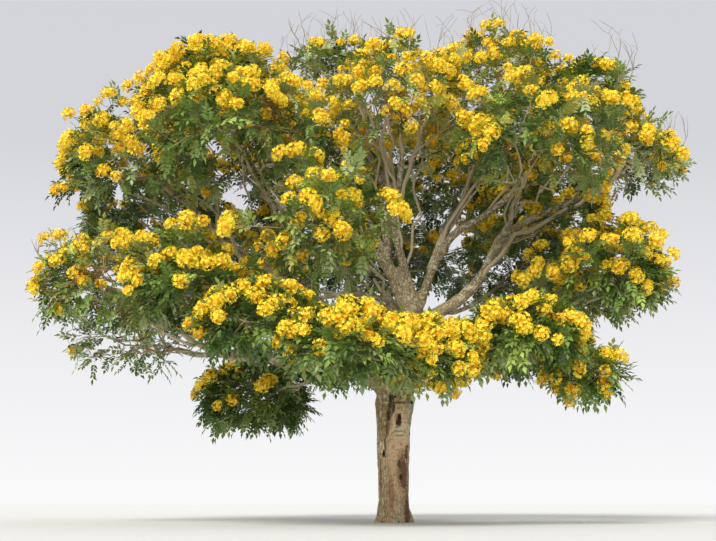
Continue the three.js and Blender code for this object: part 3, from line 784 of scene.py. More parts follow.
CROWN = (
    Plan("crest_left", "trunk", 0.97, (-0.9, 0.45, 7.0), (0.95, 0.95, 0.98), 0.105, (0.05, 0.02),
         kink=(-0.035, 0.02), bloom=0.13, bare=3, leafage=Leafage.THIN, low=1.3, shoots=1.28, stems=5),
    Plan("crest", "trunk", 0.985, (0.12, -0.8, 6.16), (1.0, 0.95, 0.86), 0.1, (0.02, -0.06),
         kink=(0.02, 0.0), bloom=0.6, bare=2, leafage=Leafage.THIN, low=1.5, shoots=1.66, stems=5),
    Plan("right_crest", "trunk", 0.95, (3.0, -0.2, 6.25), (1.0, 1.0, 1.0), 0.09, (0.075, 0.03),
         kink=(0.02, 0), bloom=0.44, bare=2, low=0.9, shoots=1.5, stems=3),
    Plan("right_tip", "trunk", 0.9, (3.75, -0.1, 5.4), (1.0, 0.95, 0.75), 0.11, (0.045, 0.02),
         kink=(-0.035, 0.02), bare=2, leafage=Leafage.WORN, low=1.5, under=0.3),
    Plan("left_crest", "trunk", 0.955, (-2.85, 0.35, 6.85), (1.25, 1.1, 1.0), 0.09, (-0.03, 0.03),
         kink=(0.07, 0.0), bloom=0.85, low=1.0, stems=4),
    Plan("left_shoulder", "trunk", 0.89, (-4.1, -0.2, 5.38), (1.15, 1.05, 0.82), 0.105,
         (-0.06, -0.03), kink=(-0.02, 0.02), bloom=0.74, low=0.95, stems=4),
    Plan("left_tip", "trunk", 0.595, (-4.35, -0.8, 3.27), (0.94, 1.0, 0.74), 0.125, (-0.02, 0.06),
         kink=(0.03, -0.02), bloom=0.42, bare=2, leafage=Leafage.WORN, low=0.7, stems=3),
    Plan("right_skirt", "trunk", 0.78, (3.15, -0.9, 3.4), (1.0, 1.05, 0.68), 0.095, (-0.03, -0.05),
         kink=(0.03, 0.03), bloom=0.74, low=0.95),
    Plan("back", "trunk", 0.87, (0.15, 3.3, 4.7), (1.35, 1.1, 0.95), 0.095, (0.03, 0.05),
         kink=(0.03, -0.02), leafage=Leafage.SHADE),
    Plan("front", "trunk", 0.7, (-0.6, -3.5, 2.06), (0.9, 0.85, 0.48), 0.085, (0.13, 0.03),
         kink=(0.02, 0.03), bloom=0.82, low=0.6),
    Plan("left_heart", "trunk", 0.83, (-1.0, -2.7, 3.65), (0.97, 0.95, 0.78), 0.065, (0.05, 0.05),
         kink=(0.03, 0), bloom=0.56, low=1.0, stems=3),
    Plan("crest_right", "right_crest", 0.25, (1.75, 0.15, 6.95), (1.0, 1.0, 1.0), 0.065,
         (-0.04, -0.03), bare=3, leafage=Leafage.THIN, low=1.2, shoots=1.3, stems=4),
    Plan("right_breast", "right_tip", 0.44, (1.95, -1.95, 5.0), (0.92, 0.95, 0.8), 0.055,
         (0.05, 0.04), low=0.8, stems=3),
    Plan("right_inner", "right_tip", 0.5, (2.7, 0.7, 4.9), (0.95, 0.95, 0.72), 0.055, (0.03, 0.04),
         kink=(0.02, 0.02), leafage=Leafage.SHADE, low=1.2),
    Plan("left_breast", "left_shoulder", 0.4, (-2.2, -2.1, 5.2), (1.05, 1.0, 0.66), 0.06,
         (0.06, 0.05), bloom=0.9, low=0.6, stems=3),
    Plan("left_shade", "left_shoulder", 0.52, (-4.0, 0.95, 4.75), (1.2, 1.0, 0.68), 0.06,
         (0.03, 0.04), kink=(0.02, 0.03), bloom=0.2, leafage=Leafage.SHADE),
    Plan("left_hem", "left_tip", 0.5, (-4.1, 0.3, 2.65), (1.1, 0.9, 0.6), 0.06, (0.0, -0.05),
         bloom=0.12, bare=2, leafage=Leafage.SPARSE),
    Plan("left_apron", "left_tip", 0.32, (-2.7, -2.0, 3.05), (1.05, 0.95, 0.68), 0.06, (0.05, 0.05),
         low=0.7),
    Plan("low_left", "left_tip", 0.22, (-2.15, 0.7, 1.85), (1.05, 0.95, 0.68), 0.055, (0.08, -0.06),
         bloom=0.17, leafage=Leafage.SHADE),
    Plan("front_left", "front", 0.42, (-1.7, -3.0, 2.4), (0.9, 0.85, 0.53), 0.05, (0.05, 0.05),
         bloom=0.76, low=0.6),
    Plan("front_right", "front", 0.36, (0.33, -2.85, 2.02), (0.72, 0.8, 0.47), 0.045, (0.06, -0.05),
         bloom=0.82, low=1.3),
    Plan("right_apron", "right_skirt", 0.28, (1.62, -2.3, 2.35), (0.93, 0.95, 0.52), 0.055,
         (0.04, -0.04), bloom=0.46, low=1.0),
    Plan("right_drop", "right_skirt", 0.5, (2.5, -1.85, 1.95), (0.52, 0.54, 0.38), 0.04, (0.08, 0.0),
         bloom=0.32, low=1.1),
    Plan("back_left", "back", 0.22, (-2.6, 2.9, 4.4), (1.25, 1.15, 0.92), 0.065, (0.0, 0.05),
         leafage=Leafage.SHADE),
    Plan("back_low", "back", 0.3, (-0.6, 3.3, 2.9), (1.2, 1.0, 0.68), 0.055, (0.09, 0.0),
         leafage=Leafage.SHADE),
    Plan("back_right", "right_skirt", 0.16, (2.45, 2.55, 4.45), (1.3, 1.15, 0.9), 0.055, (0.02, 0.06),
         leafage=Leafage.SHADE),
    Plan("back_crest_left", "crest_left", 0.3, (-1.15, 2.2, 6.1), (1.25, 1.1, 1.0), 0.06,
         (0.0, -0.05), bloom=0.4, bare=1, leafage=Leafage.SHADE, low=1.5),
    Plan("back_crest_right", "right_crest", 0.38, (1.35, 2.1, 5.85), (1.25, 1.1, 1.0), 0.055,
         (0.0, 0.05), bare=1, leafage=Leafage.SHADE, low=1.5),
    Plan("right_back_skirt", "right_skirt", 0.38, (2.5, 1.7, 2.8), (1.1, 1.0, 0.65), 0.055,
         (0.05, 0.05), leafage=Leafage.SHADE),
)


def swellings(rows: Sequence[Sequence[float]], turns: Array, run: Array, phase: float) -> Array:
    """Slow swellings round and along a limb.

    Args:
        rows: how large each one is, how often round, how fast along, and by how much of the phase.
        turns: turns round the limb.
        run: lengths along it.
        phase: the limb's own phase.

    Returns:
        How much wider it is, as shares of its half width.
    """
    return sum(large * np.sin(often * turns + fast * run + shift * phase)
               for large, often, fast, shift in rows)


class Limb:
    """A tapering limb round a smooth middle line."""

    POINTS = 240
    LEAST_RINGS = 6

    def __init__(self, name: str, knots: Array, guide: Array) -> None:
        """Lays the middle line.

        Args:
            name: the solid that the limb stands for.
            knots: the places that its middle passes through.
            guide: a direction that its sections are squared to.
        """
        self.name = name
        self.line = smooth_line(knots, self.POINTS)
        self.shares = np.linspace(0, 1, self.POINTS)
        self.run = float(np.linalg.norm(np.diff(self.line, axis=0), axis=1).sum())
        self.guide = guide

    def point(self, along: Array | float) -> Array:
        """The places at shares of the limb's length."""
        return np.stack([np.interp(along, self.shares, self.line[:, axis]) for axis in range(3)], -1)

    def way(self, along: Array | float) -> Array:
        """The directions of the limb.

        Args:
            along: shares of its length.

        Returns:
            A direction for each.
        """
        near = 1 / self.POINTS
        held = np.clip(along, near, 1 - near)
        return unit(self.point(held + near) - self.point(held - near))

    def girth(self, along: Array | float) -> Array:
        """The half widths at shares of its length."""
        raise NotImplementedError

    def rough_girth(self, along: Array, turns: Array) -> Array:
        """The half widths round each ring, as (rings, sides)."""
        raise NotImplementedError

    def tube(self, step: float, sides: int) -> tuple[Array, Array]:
        """The limb as an open rod.

        Args:
            step: the distance between its rings.
            sides: the corners of a ring.

        Returns:
            Corners and faces.
        """
        along = np.linspace(0, 1, max(self.LEAST_RINGS, round(self.run / step)))
        turns = np.arange(sides) * math.tau / sides
        widths = self.rough_girth(along, turns)
        return rods(self.point(along)[None], self.guide[None], widths[None])


class Trunk(Limb):
    """The trunk, from the cut at the ground to its top fork."""

    def __init__(self) -> None:
        """Lays the trunk's line."""
        super().__init__("trunk", np.array(TRUNK_LINE, float), np.array((0.0, 1.0, 0.0)))
        self.heights, self.halves = np.array(TRUNK_GIRTH).T

    def girth(self, along: Array | float) -> Array:
        """The half widths at shares of its length."""
        return self.half_at(self.point(along)[..., 2])

    def half_at(self, up: Array) -> Array:
        """The half widths, eased from one given height to the next.

        Args:
            up: heights above the ground.

        Returns:
            The half width at each.
        """
        place = np.clip(np.searchsorted(self.heights, up, "right") - 1, 0, len(self.heights) - 2)
        low = self.heights[place]
        share = eased((up - low) / (self.heights[place + 1] - low))
        return between(self.halves[place], self.halves[place + 1], share)

    def rough_girth(self, along: Array, turns: Array) -> Array:
        """The half widths with the root ridges and slow swellings.

        Args:
            along: shares of the trunk's length.
            turns: turns round it.

        Returns:
            The half widths, as (along, turns).
        """
        up = self.point(along)[:, 2:]
        ridges = FLARE_DEPTH * np.exp(-up / FLARE_HEIGHT) * np.cos(FLARE_TOES * turns + FLARE_TURN)
        return self.half_at(up) * (1 + ridges + swellings(TRUNK_SWELLS, turns, up, 1.0))


class Bough(Limb):
    """A bough, bent in its plan's way, that ends where it enters its mass."""

    def __init__(self, plan: Plan, index: int, carrier: Limb, entry: Array) -> None:
        """Lays the bough's line.

        Args:
            plan: its plan.
            index: its number, which seeds its waver.
            carrier: the limb that it grows from.
            entry: where it enters its mass.
        """
        foot = carrier.point(plan.along)
        chord = entry - foot
        self.length = float(np.linalg.norm(chord))
        self.wide = plan.girth
        self.seed = fraction(BOUGH_SEED + index * GOLDEN)
        side = unit(np.cross(UP, chord))
        over = unit(np.cross(chord, side))
        steps = max(BOUGH_LEAST_STEPS, math.ceil(self.length / BOUGH_STEP))
        t = np.linspace(0, 1, steps + 1)
        once = np.sin(math.pi * t)
        twice = np.sin(math.tau * t)
        offsets = [self.length * (plan.bow[k] * once + plan.kink[k] * twice + BOUGH_WAVER * once
                                  * np.sin(math.tau * (beat * t + (k + 1) * self.seed)))
                   for k, beat in enumerate(BOUGH_BEATS)]
        knots = foot + t[:, None] * chord + offsets[0][:, None] * over + offsets[1][:, None] * side
        super().__init__(f"bough_{plan.name}", knots, side)

    def girth(self, along: Array | float) -> Array:
        """The half widths at shares of its length, with the collar at its foot."""
        collar = COLLAR * np.exp(-np.asarray(along) * self.length / (COLLAR_LENGTH * self.wide))
        return self.wide * (1 + (TIP_SHARE - 1) * np.asarray(along) ** TAPER + collar)

    def rough_girth(self, along: Array, turns: Array) -> Array:
        """The half widths with slow swellings and the knots of lost branches.

        Args:
            along: shares of the bough's length.
            turns: turns round it.

        Returns:
            The half widths, as (along, turns).
        """
        run = along[:, None] * self.length
        swell = swellings(BOUGH_SWELLS, turns, run, math.tau * self.seed)
        for knot in range(int(self.length * KNOTS)):
            place = self.length * fraction(self.seed * 7 + knot * GOLDEN)
            turn = math.tau * fraction(self.seed * 11 + knot * PAIR_STEPS[0])
            round_it = KNOT_ROUND * (np.cos(turns - turn) - 1)
            along_it = ((run - place) / (KNOT_LENGTH * self.wide)) ** 2
            swell = swell + KNOT_HEIGHT * np.exp(round_it - along_it)
        return self.girth(along)[:, None] * (1 + swell)

    def fork(self, along: float) -> "Fork":
        """A place on the bough that twigs may grow from, at a share of its length."""
        return Fork(self.point(along), self.way(along), (along - 1) * self.run)


@dataclass
class Fork:
    """A place on a twig that others may grow from."""

    place: Array
    way: Array
    path: float
    behind: "Fork | None" = None
    tips: int = 0
    wide: float = 0.0


class Growth(Enum):
    """What kind of shoot a twig is: the rings and sides of its rod, and how crooked it is."""

    STEM = (11, 9, 2.0)  # a thin limb, or the one that the mass grows from
    LEAFY = (5, 4, 1.0)
    BARE = (6, 3, 1.0)  # a dead shoot

    def __init__(self, rings: int, sides: int, crook: float) -> None:
        """Takes a kind's numbers apart.

        Args:
            rings: the rings of its rod.
            sides: the corners of a ring.
            crook: how crooked it is.
        """
        self.rings = rings
        self.sides = sides
        self.crook = crook


@dataclass
class Twig:
    """A curved twig from one fork to its tip."""

    start: Fork
    middle: Fork
    end: Fork
    bend: Array
    kind: Growth
    number: int = 0

    def points(self, along: Array) -> Array:
        """The places at shares of the curve."""
        t = np.asarray(along)[:, None]
        return ((1 - t) ** 2 * self.start.place + 2 * t * (1 - t) * self.bend
                + t * t * self.end.place)


def in_dome(place: Array) -> bool:
    """Whether a place is inside the crown's dome.

    Args:
        place: the place.

    Returns:
        True inside.
    """
    middle, half = np.array(DOME)
    away = (place - middle) / half
    if away[2] < 0:
        away[2] *= half[2] / DOME_UNDERSIDE
    return float((np.abs(away) ** DOME_POWER).sum()) < 1


def in_window(place: Array) -> bool:
    """Whether a place is in one of the open spaces."""
    lows, highs = np.array(WINDOWS).transpose(1, 0, 2)
    return bool(((place > lows) & (place < highs)).all(axis=1).any())


class Mass:
    """The space that one mass of foliage keeps to, and the twigs that grow in it."""

    def __init__(self, plan: Plan, index: int) -> None:
        """Sets out the space of a mass.

        Args:
            plan: its plan.
            index: its number, which seeds its twigs.
        """
        self.plan = plan
        self.heart = np.array(plan.heart)
        self.half = np.array(plan.half)
        self.seed = fraction(MASS_SEED + index * PAIR_STEPS[0])
        self.size = (self.half[0] + self.half[1]) / 2
        self.tips = round(TIPS * (self.half[0] * self.half[1]) ** TIPS_POWER)
        self.entry = self.heart
        self.others: list[Mass] = []
        self.stretches = np.empty((0, 7))
        self.forks: list[Fork] = []
        self.twigs: list[Twig] = []

    def share(self, place: Array) -> float:
        """0 at the heart and 1 at the edge."""
        return float(np.linalg.norm((place - self.heart) / self.half))

    def margin(self, place: Array) -> float:
        """How far a place is inside the planes that part this mass from the others.

        Args:
            place: the place.

        Returns:
            Metres, below zero outside.
        """
        scale = np.array((1.0, 1.0, FLATNESS))

        def power(mass: "Mass") -> float:
            """The place's pull towards a mass."""
            return float((((place - mass.heart) * scale) ** 2).sum()) - mass.size**2

        own = power(self)
        return min((power(other) - own) / (2 * float(np.linalg.norm((other.heart - self.heart) * scale)))
                   for other in self.others)

    def enter_from(self, foot: Array) -> None:
        """Finds where its bough enters: on the way from the heart to the foot, still well inside.

        Args:
            foot: where the bough leaves its carrier.

        Raises:
            ValueError: if no place on that way will do.
        """
        for share in np.arange(*ENTRY_STEPS):
            place = self.heart + (foot - self.heart) * share
            if self.share(place) <= ENTRY and self.margin(place) > ENTRY_CLEAR:
                self.entry = place
                return
        raise ValueError(f"{self.plan.name} has no way in")

    def tip(self, number: int) -> Array:
        """A twig's tip, spread evenly over the mass for any number of twigs.

        Args:
            number: the twig's number.

        Returns:
            The place.
        """
        spin, drop, inward = (fraction(self.seed * (k + 1) + number * step)
                              for k, step in enumerate(THREE_STEPS))
        rise = 1 - drop * (1 + self.plan.under)
        out = math.sqrt(1 - rise * rise)
        way = np.array((out * math.cos(math.tau * spin), out * math.sin(math.tau * spin), rise))
        reach = TWIG_FILL if in_dome(self.heart + way * self.half * TWIG_FILL) else TWIG_REACH
        return self.heart + way * self.half * between(TWIG_INNER, reach, math.sqrt(inward))

    def stem_tip(self, number: int) -> Array:
        """Where a thin limb ends, spread round the lower half of the mass.

        Args:
            number: the limb's number.

        Returns:
            The place.
        """
        turn = math.tau * (fraction(self.seed * 13) + number * GOLDEN)
        way = unit(np.array((math.cos(turn), math.sin(turn), -STEM_FALL)))
        return self.heart + way * STEM_REACH * self.half

    def bare_tip(self, number: int) -> Array:
        """A dead shoot's tip, spread over the mass and well above it.

        Args:
            number: the shoot's number.

        Returns:
            The place.
        """
        turn = math.tau * fraction(self.seed * 3 + number * GOLDEN)
        out = math.sqrt(fraction(self.seed * 7 + number * SHOOT_STEPS[0]))
        height = between(SHORTEST_SHOOT, 1.0, fraction(number * SHOOT_STEPS[1]))
        height *= 1 - SHOOT_FALL * out**2
        place = np.array((out * math.cos(turn), out * math.sin(turn), self.plan.shoots * height))
        return self.heart + place * self.half

    def exposed(self, twig: Twig) -> float:
        """How much light a twig's tip gets, from how far out and how high it is.

        Args:
            twig: the twig.

        Returns:
            0 to 1.
        """
        away = (twig.end.place - self.heart) / self.half
        far = float(np.linalg.norm(away))
        rise = float(away[2]) / max(far, 1e-6)
        return float(eased((far - LIT_FROM) / LIT_DEPTH) * eased((rise + self.plan.low) / LIT_RISE))

    def blooms(self, twig: Twig) -> bool:
        """Whether a twig is in flower, as every one in an open space is.

        Args:
            twig: the twig.

        Returns:
            True if it is.
        """
        chance = fraction(self.seed * 5 + twig.number * PAIR_STEPS[1])
        share = self.plan.bloom * BLOOM_SHARE * between(DARK_BLOOM, 1.0, self.exposed(twig))
        return chance < share or in_window(twig.end.place)

    def grow(self, bough: Bough) -> None:
        """Grows the twigs.

        Args:
            bough: the bough that carries the mass.
        """
        girth = float(bough.girth(1.0))
        way = bough.way(1.0)
        root = Fork(self.entry - way * girth * ROOT_DEPTH, way, 0.0)
        self.forks = [bough.fork(along) for along in BOUGH_FORKS]
        self._branch(root, self.heart, Growth.STEM, 0)
        self._grow_stems(bough)
        self._grow_leafy()
        self._grow_shoots()
        most = max(fork.tips for fork in (root, *self.forks))
        power = math.log(girth / TWIG_TIP) / math.log(max(most, 2))
        for fork in self.forks:
            fork.wide = TWIG_TIP * max(fork.tips, 1) ** (power * STEM_THINNING)
        root.wide = girth

    def _grow_stems(self, bough: Bough) -> None:
        """Grows the thin limbs.

        Args:
            bough: the bough that they leave, below its tip.
        """
        for number in range(self.plan.stems):
            foot = bough.fork(between(*STEM_FORKS, (number + 0.5) / self.plan.stems))
            tip = self.stem_tip(number)
            if self.margin(tip) > CLEAR and self._clear(between(foot.place, tip, STEM_FOOT), tip):
                self.forks.append(foot)
                self._branch(foot, tip, Growth.STEM, number + 1)

    def _grow_leafy(self) -> None:
        """Joins each leafy tip to the nearest fork, by the shortest way from the stem."""
        for number in range(self.tips):
            tip = self.tip(number)
            if self.margin(tip) < EDGE:
                continue
            if in_window(tip) and fraction(number * WINDOW_STEP) > WINDOW_SHARE:
                continue
            places = np.array([fork.place for fork in self.forks])
            paths = np.array([fork.path for fork in self.forks])
            cost = np.linalg.norm(places - tip, axis=1) + PATH_WEIGHT * paths
            start = self.forks[int(cost.argmin())]
            if self._clear(start.place, tip):
                self._branch(start, tip, Growth.LEAFY, number)

    def _grow_shoots(self) -> None:
        """Grows the dead shoots, each from the fork that it rises from most steeply."""
        for number in range(self.plan.bare * BARE_FORKS):
            tip = self.bare_tip(number)
            away = tip - np.array([fork.place for fork in self.forks])
            cost = away[:, 2] + ASIDE * np.hypot(away[:, 0], away[:, 1])
            start = self.forks[int(np.where(away[:, 2] < LEAST_RISE, np.inf, cost).argmin())]
            if self.margin(tip) > CLEAR:
                self._branch(start, tip, Growth.BARE, number)

    def _branch(self, start: Fork, tip: Array, kind: Growth, number: int) -> None:
        """Adds one twig and the forks at its middle and its tip.

        Args:
            start: the fork that it leaves.
            tip: where it ends.
            kind: its kind.
            number: its number.
        """
        long = float(np.linalg.norm(tip - start.place))
        bend = (start.place + tip) / 2 + start.way * BEND * long
        twig = Twig(start, Fork(tip, UP, 0), Fork(tip, unit(tip - bend), start.path + long), bend,
                    kind, number)
        twig.middle = Fork(twig.points((0.5,))[0], unit(tip - start.place), start.path + long / 2,
                           start)
        twig.end.behind = twig.middle
        self.forks.extend((twig.middle, twig.end))
        self.twigs.append(twig)
        fork: Fork | None = twig.end
        while fork is not None:
            fork.tips += 1
            fork = fork.behind

    def _clear(self, start: Array, end: Array) -> bool:
        """Whether a twig from start to end keeps clear of every limb that isn't its own."""
        gaps = gaps_between(start, end, self.stretches[:, :3], self.stretches[:, 3:6])
        return bool((gaps > self.stretches[:, 6] + LIMB_GAP).all())


class Tree:
    """The limbs and the masses, grown in the order of the crown's plans."""

    def __init__(self) -> None:
        """Grows the whole tree."""
        self.trunk = Trunk()
        self.masses = [Mass(plan, index) for index, plan in enumerate(CROWN)]
        self.boughs: dict[str, Bough] = {}
        for index, mass in enumerate(self.masses):
            plan = mass.plan
            carrier = self.trunk if plan.carrier == "trunk" else self.boughs[plan.carrier]
            mass.others = [other for other in self.masses if other is not mass]
            mass.enter_from(carrier.point(plan.along))
            self.boughs[plan.name] = Bough(plan, index, carrier, mass.entry)
        stretches = [(limb, self._stretches(limb)) for limb in (self.trunk, *self.boughs.values())]
        for mass in self.masses:
            bough = self.boughs[mass.plan.name]
            mass.stretches = np.vstack([rows for limb, rows in stretches if limb is not bough])
            mass.grow(bough)

    @staticmethod
    def _stretches(limb: Limb) -> Array:
        """A limb as short straight stretches.

        Args:
            limb: the limb.

        Returns:
            Start, end and half width in each row.
        """
        marks = np.linspace(0, 1, STRETCHES + 1)
        places = limb.point(marks)
        widths = limb.girth(marks)
        return np.column_stack([places[:-1], places[1:], np.maximum(widths[:-1], widths[1:])])

    @property
    def main_limbs(self) -> list[Limb]:
        """The trunk and the boughs that leave it."""
        return [self.trunk, *(self.boughs[plan.name] for plan in CROWN if plan.carrier == "trunk")]

    @property
    def side_limbs(self) -> list[Limb]:
        """The boughs that leave other boughs."""
        return [self.boughs[plan.name] for plan in CROWN if plan.carrier != "trunk"]


def frayed(places: Array, scale: Point, rise: float = 2.2) -> Array:
    """Cracks between cells: 0 in a crack and up to 1 away from it.

    Args:
        places: the places.
        scale: cells to a metre, each way.
        rise: how steep a crack's sides are.

    Returns:
        A height for each place.
    """
    found = (noise.voronoi(Vector(place))[0] for place in places * np.array(scale))
    return np.clip(np.array([second - first for first, second, *_ in found]) * rise, 0, 1)


def rolling(places: Array, scale: Point) -> Array:
    """Soft noise from about -1 to 1 at places."""
    return np.array([noise.noise(Vector(place)) for place in places * np.array(scale)])


@dataclass
class Seating:
    """Where each of many places lies on the limbs."""

    limb: Array
    along: Array
    offset: Array
    lead: Array

    @classmethod
    def of(cls, places: Array, limbs: Sequence[Limb]) -> "Seating":
        """Finds the limb that each place is nearest to.

        Args:
            places: the places, as (places, 3).
            limbs: the limbs.

        Returns:
            The limb's number, how far along it, the offset across, over and along it, and by how
            much that limb is nearer than the next one.
        """
        count = len(places)
        gaps = np.full((2, count), np.inf)
        limb_of = np.zeros(count, int)
        along_of = np.zeros(count)
        marks = np.linspace(0, 1, SEATS)
        for number, limb in enumerate(limbs):
            middles = limb.point(marks)
            squares = (places**2).sum(1)[:, None] + (middles**2).sum(1) - 2 * places @ middles.T
            gap = np.sqrt(np.maximum(squares, 0)) - limb.girth(marks)
            nearest = gap.argmin(1)
            value = gap[np.arange(count), nearest]
            first = value < gaps[0]
            gaps[1] = np.where(first, gaps[0], np.minimum(gaps[1], value))
            gaps[0] = np.where(first, value, gaps[0])
            limb_of[first] = number
            along_of[first] = marks[nearest[first]]
        offset = np.zeros((count, 3))
        for number, limb in enumerate(limbs):
            own = limb_of == number
            frames = squared(limb.way(along_of[own]), np.tile(limb.guide, (own.sum(), 1)))
            away = places[own] - limb.point(along_of[own])
            offset[own] = np.einsum("nji,ni->nj", frames, away)
            along_of[own] = along_of[own] + offset[own, 2] / limb.run
        return cls(limb_of, along_of, offset, gaps[1] - gaps[0])

    def grain(self, limbs: Sequence[Limb]) -> Array:
        """Each place across, over and along its limb, in metres.

        Args:
            limbs: the limbs that the places were found on.

        Returns:
            The places, as (places, 3).
        """
        runs = np.array([limb.run for limb in limbs])
        grain = self.offset.copy()
        grain[:, 2] = self.along * runs[self.limb] + LIMB_SHIFT * self.limb
        return grain


@dataclass
class TrunkAndLimbs:
    """The trunk and the boughs that leave it, as one skin with the relief of the bark.

    Scales are in cells or lumps to a metre, across, over and along the limb.
    """

    tree: Tree
    name: str = "trunk_and_limbs"
    cell: float = 0.033  # of the skin's faces, before those of the trunk are split
    soft_rounds: int = 4
    fine_height: float = 2.1  # up to here they are split once
    finest_height: float = 1.95  # and up to here once more, in front of finest_back
    finest_back: float = 0.03
    ring_step: float = 0.06
    ring_sides: int = 28
    trunk_step: float = 0.04
    trunk_sides: int = 72
    under_cut: float = 0.12  # what the trunk has below the ground until it is cut flat
    calm: float = 0.07  # the cracks end this near to another limb
    girth_at: float = 0.3
    crack_depth: float = 0.011
    crack_scale: Point = (17, 17, 3.4)
    crack_bed: float = 0.6  # how much of it lies below the smooth limb
    bough_cracks: float = 0.55  # against the trunk's
    face_cracks: float = 0.25  # what is left of them on the smooth face
    face_edge: Span = (0.7, 0.4)
    stray: float = 0.02  # how far the cracks stray
    stray_scale: Point = (9, 9, 4)
    lump_depth: float = 0.012
    lump_girth: float = 0.2  # the half width that has lumps of this depth
    lump_scale: Point = (6, 6, 2.6)
    small_lumps: float = 0.5  # against the others
    small_scale: Point = (14, 14, 5)

    def build(self) -> bpy.types.Object:
        """Makes the skin and dresses it.

        Returns:
            The piece.
        """
        mesh = self._skin(self._rough())
        self._refine(mesh)
        limbs = self.tree.main_limbs
        places = rows_of(mesh.vertices, "co")
        seating = Seating.of(places, limbs)
        grain = seating.grain(limbs)
        places = self._relief(places, rows_of(mesh.vertex_normals, "vector"), seating, grain)
        moulded(mesh, places, grain)
        self._cut_flat(mesh)
        return shown(smoothed(mesh), [TRUNK_BARK.material()])

    def _rough(self) -> bpy.types.Mesh:
        """The limbs as closed rods, not joined yet.

        Returns:
            The mesh.
        """
        pile = Pile()
        for limb in self.tree.main_limbs:
            is_trunk = limb is self.tree.trunk
            step = self.trunk_step if is_trunk else self.ring_step
            sides = self.trunk_sides if is_trunk else self.ring_sides
            corners, faces = limb.tube(step, sides)
            if is_trunk:
                corners[:sides, 2] -= self.under_cut
            pile.add(corners, faces)
            last = len(corners)
            ends = np.array([range(sides - 1, -1, -1), range(last - sides, last)])
            pile.add(np.empty((0, 3)), ends - last)
        return pile.mesh(self.name)

    def _skin(self, mesh: bpy.types.Mesh) -> bpy.types.Mesh:
        """Joins the rods into one skin and softens it.

        Args:
            mesh: the rods, which are used up.

        Returns:
            The skin.
        """
        helper = shown(mesh, [])
        remesh = helper.modifiers.new("join", "REMESH")
        remesh.mode = "VOXEL"
        remesh.voxel_size = self.cell
        soften = helper.modifiers.new("soften", "SMOOTH")
        soften.iterations = self.soft_rounds
        graph = bpy.context.evaluated_depsgraph_get()
        joined = bpy.data.meshes.new_from_object(helper.evaluated_get(graph))
        bpy.data.objects.remove(helper)
        bpy.data.meshes.remove(mesh)
        joined.name = self.name
        return joined

    def _refine(self, mesh: bpy.types.Mesh) -> None:
        """Splits the trunk's faces in four, and its front's once more, for its finer marks.

        Args:
            mesh: the skin.
        """
        form = bmesh.new()
        form.from_mesh(mesh)
        for height, back in ((self.fine_height, math.inf), (self.finest_height, self.finest_back)):
            middles = {face: face.calc_center_median() for face in form.faces}
            chosen = [face for face, middle in middles.items() if middle.z < height and middle.y < back]
            edges = list({edge for face in chosen for edge in face.edges})
            bmesh.ops.subdivide_edges(form, edges=edges, cuts=1, use_grid_fill=True)
            inner = [corner for corner in form.verts if corner.co.z < height and corner.co.y < back]
            bmesh.ops.smooth_vert(form, verts=inner, factor=0.5, use_axis_x=True,
                                  use_axis_y=True, use_axis_z=True)
        form.to_mesh(mesh)
        form.free()

    def _relief(self, places: Array, ways: Array, seating: Seating, grain: Array) -> Array:
        """Moves the skin to the bark's relief and the trunk's marks.

        Args:
            places: the corners.
            ways: the directions out of the skin.
            seating: where they lie on the limbs.
            grain: the same, in metres.

        Returns:
            The moved corners.
        """
        girths = np.array([limb.girth(self.girth_at) for limb in self.tree.main_limbs])[seating.limb]
        calm = eased(seating.lead / self.calm)
        on_trunk = seating.limb == 0
        coarse = np.where(on_trunk, 1.0, self.bough_cracks)
        strayed = grain + self.stray * rolling(grain, self.stray_scale)[:, None]
        cracks = frayed(strayed, self.crack_scale) - self.crack_bed
        lumps = rolling(grain, self.lump_scale) + self.small_lumps * rolling(grain, self.small_scale)
        middle, reach = np.array(SMOOTH_FACE)
        edge, width = self.face_edge
        off_face = eased((np.linalg.norm((places - middle) / reach, axis=1) - edge) / width)
        height = (calm * coarse * between(self.face_cracks, 1.0, off_face) * self.crack_depth * cracks
                  + self.lump_depth * lumps * girths / self.lump_girth)
        moved = places + ways * height[:, None]
        middle = self.tree.trunk.point(places[:, 2] / self.tree.trunk.line[-1, 2])
        radial = unit((places - middle) * (1, 1, 0))
        degrees = np.degrees(np.arctan2(radial[:, 1], radial[:, 0]))
        depth = sum(mark.cut(degrees, places[:, 2]) for mark in TRUNK_MARKS)
        return moved - radial * (depth * on_trunk)[:, None]

    @staticmethod
    def _cut_flat(mesh: bpy.types.Mesh) -> None:
        """Cuts the trunk flat at the ground.

        Args:
            mesh: the skin.
        """
        form = bmesh.new()
        form.from_mesh(mesh)
        cut = bmesh.ops.bisect_plane(form, geom=[*form.verts, *form.edges, *form.faces],
                                     plane_co=(0, 0, 0), plane_no=(0, 0, 1), clear_inner=True)
        rim = [part for part in cut["geom_cut"] if isinstance(part, bmesh.types.BMEdge)]
        bmesh.ops.contextual_create(form, geom=rim)
        bmesh.ops.triangulate(form, faces=[face for face in form.faces if len(face.verts) > 4])
        form.to_mesh(mesh)
        form.free()


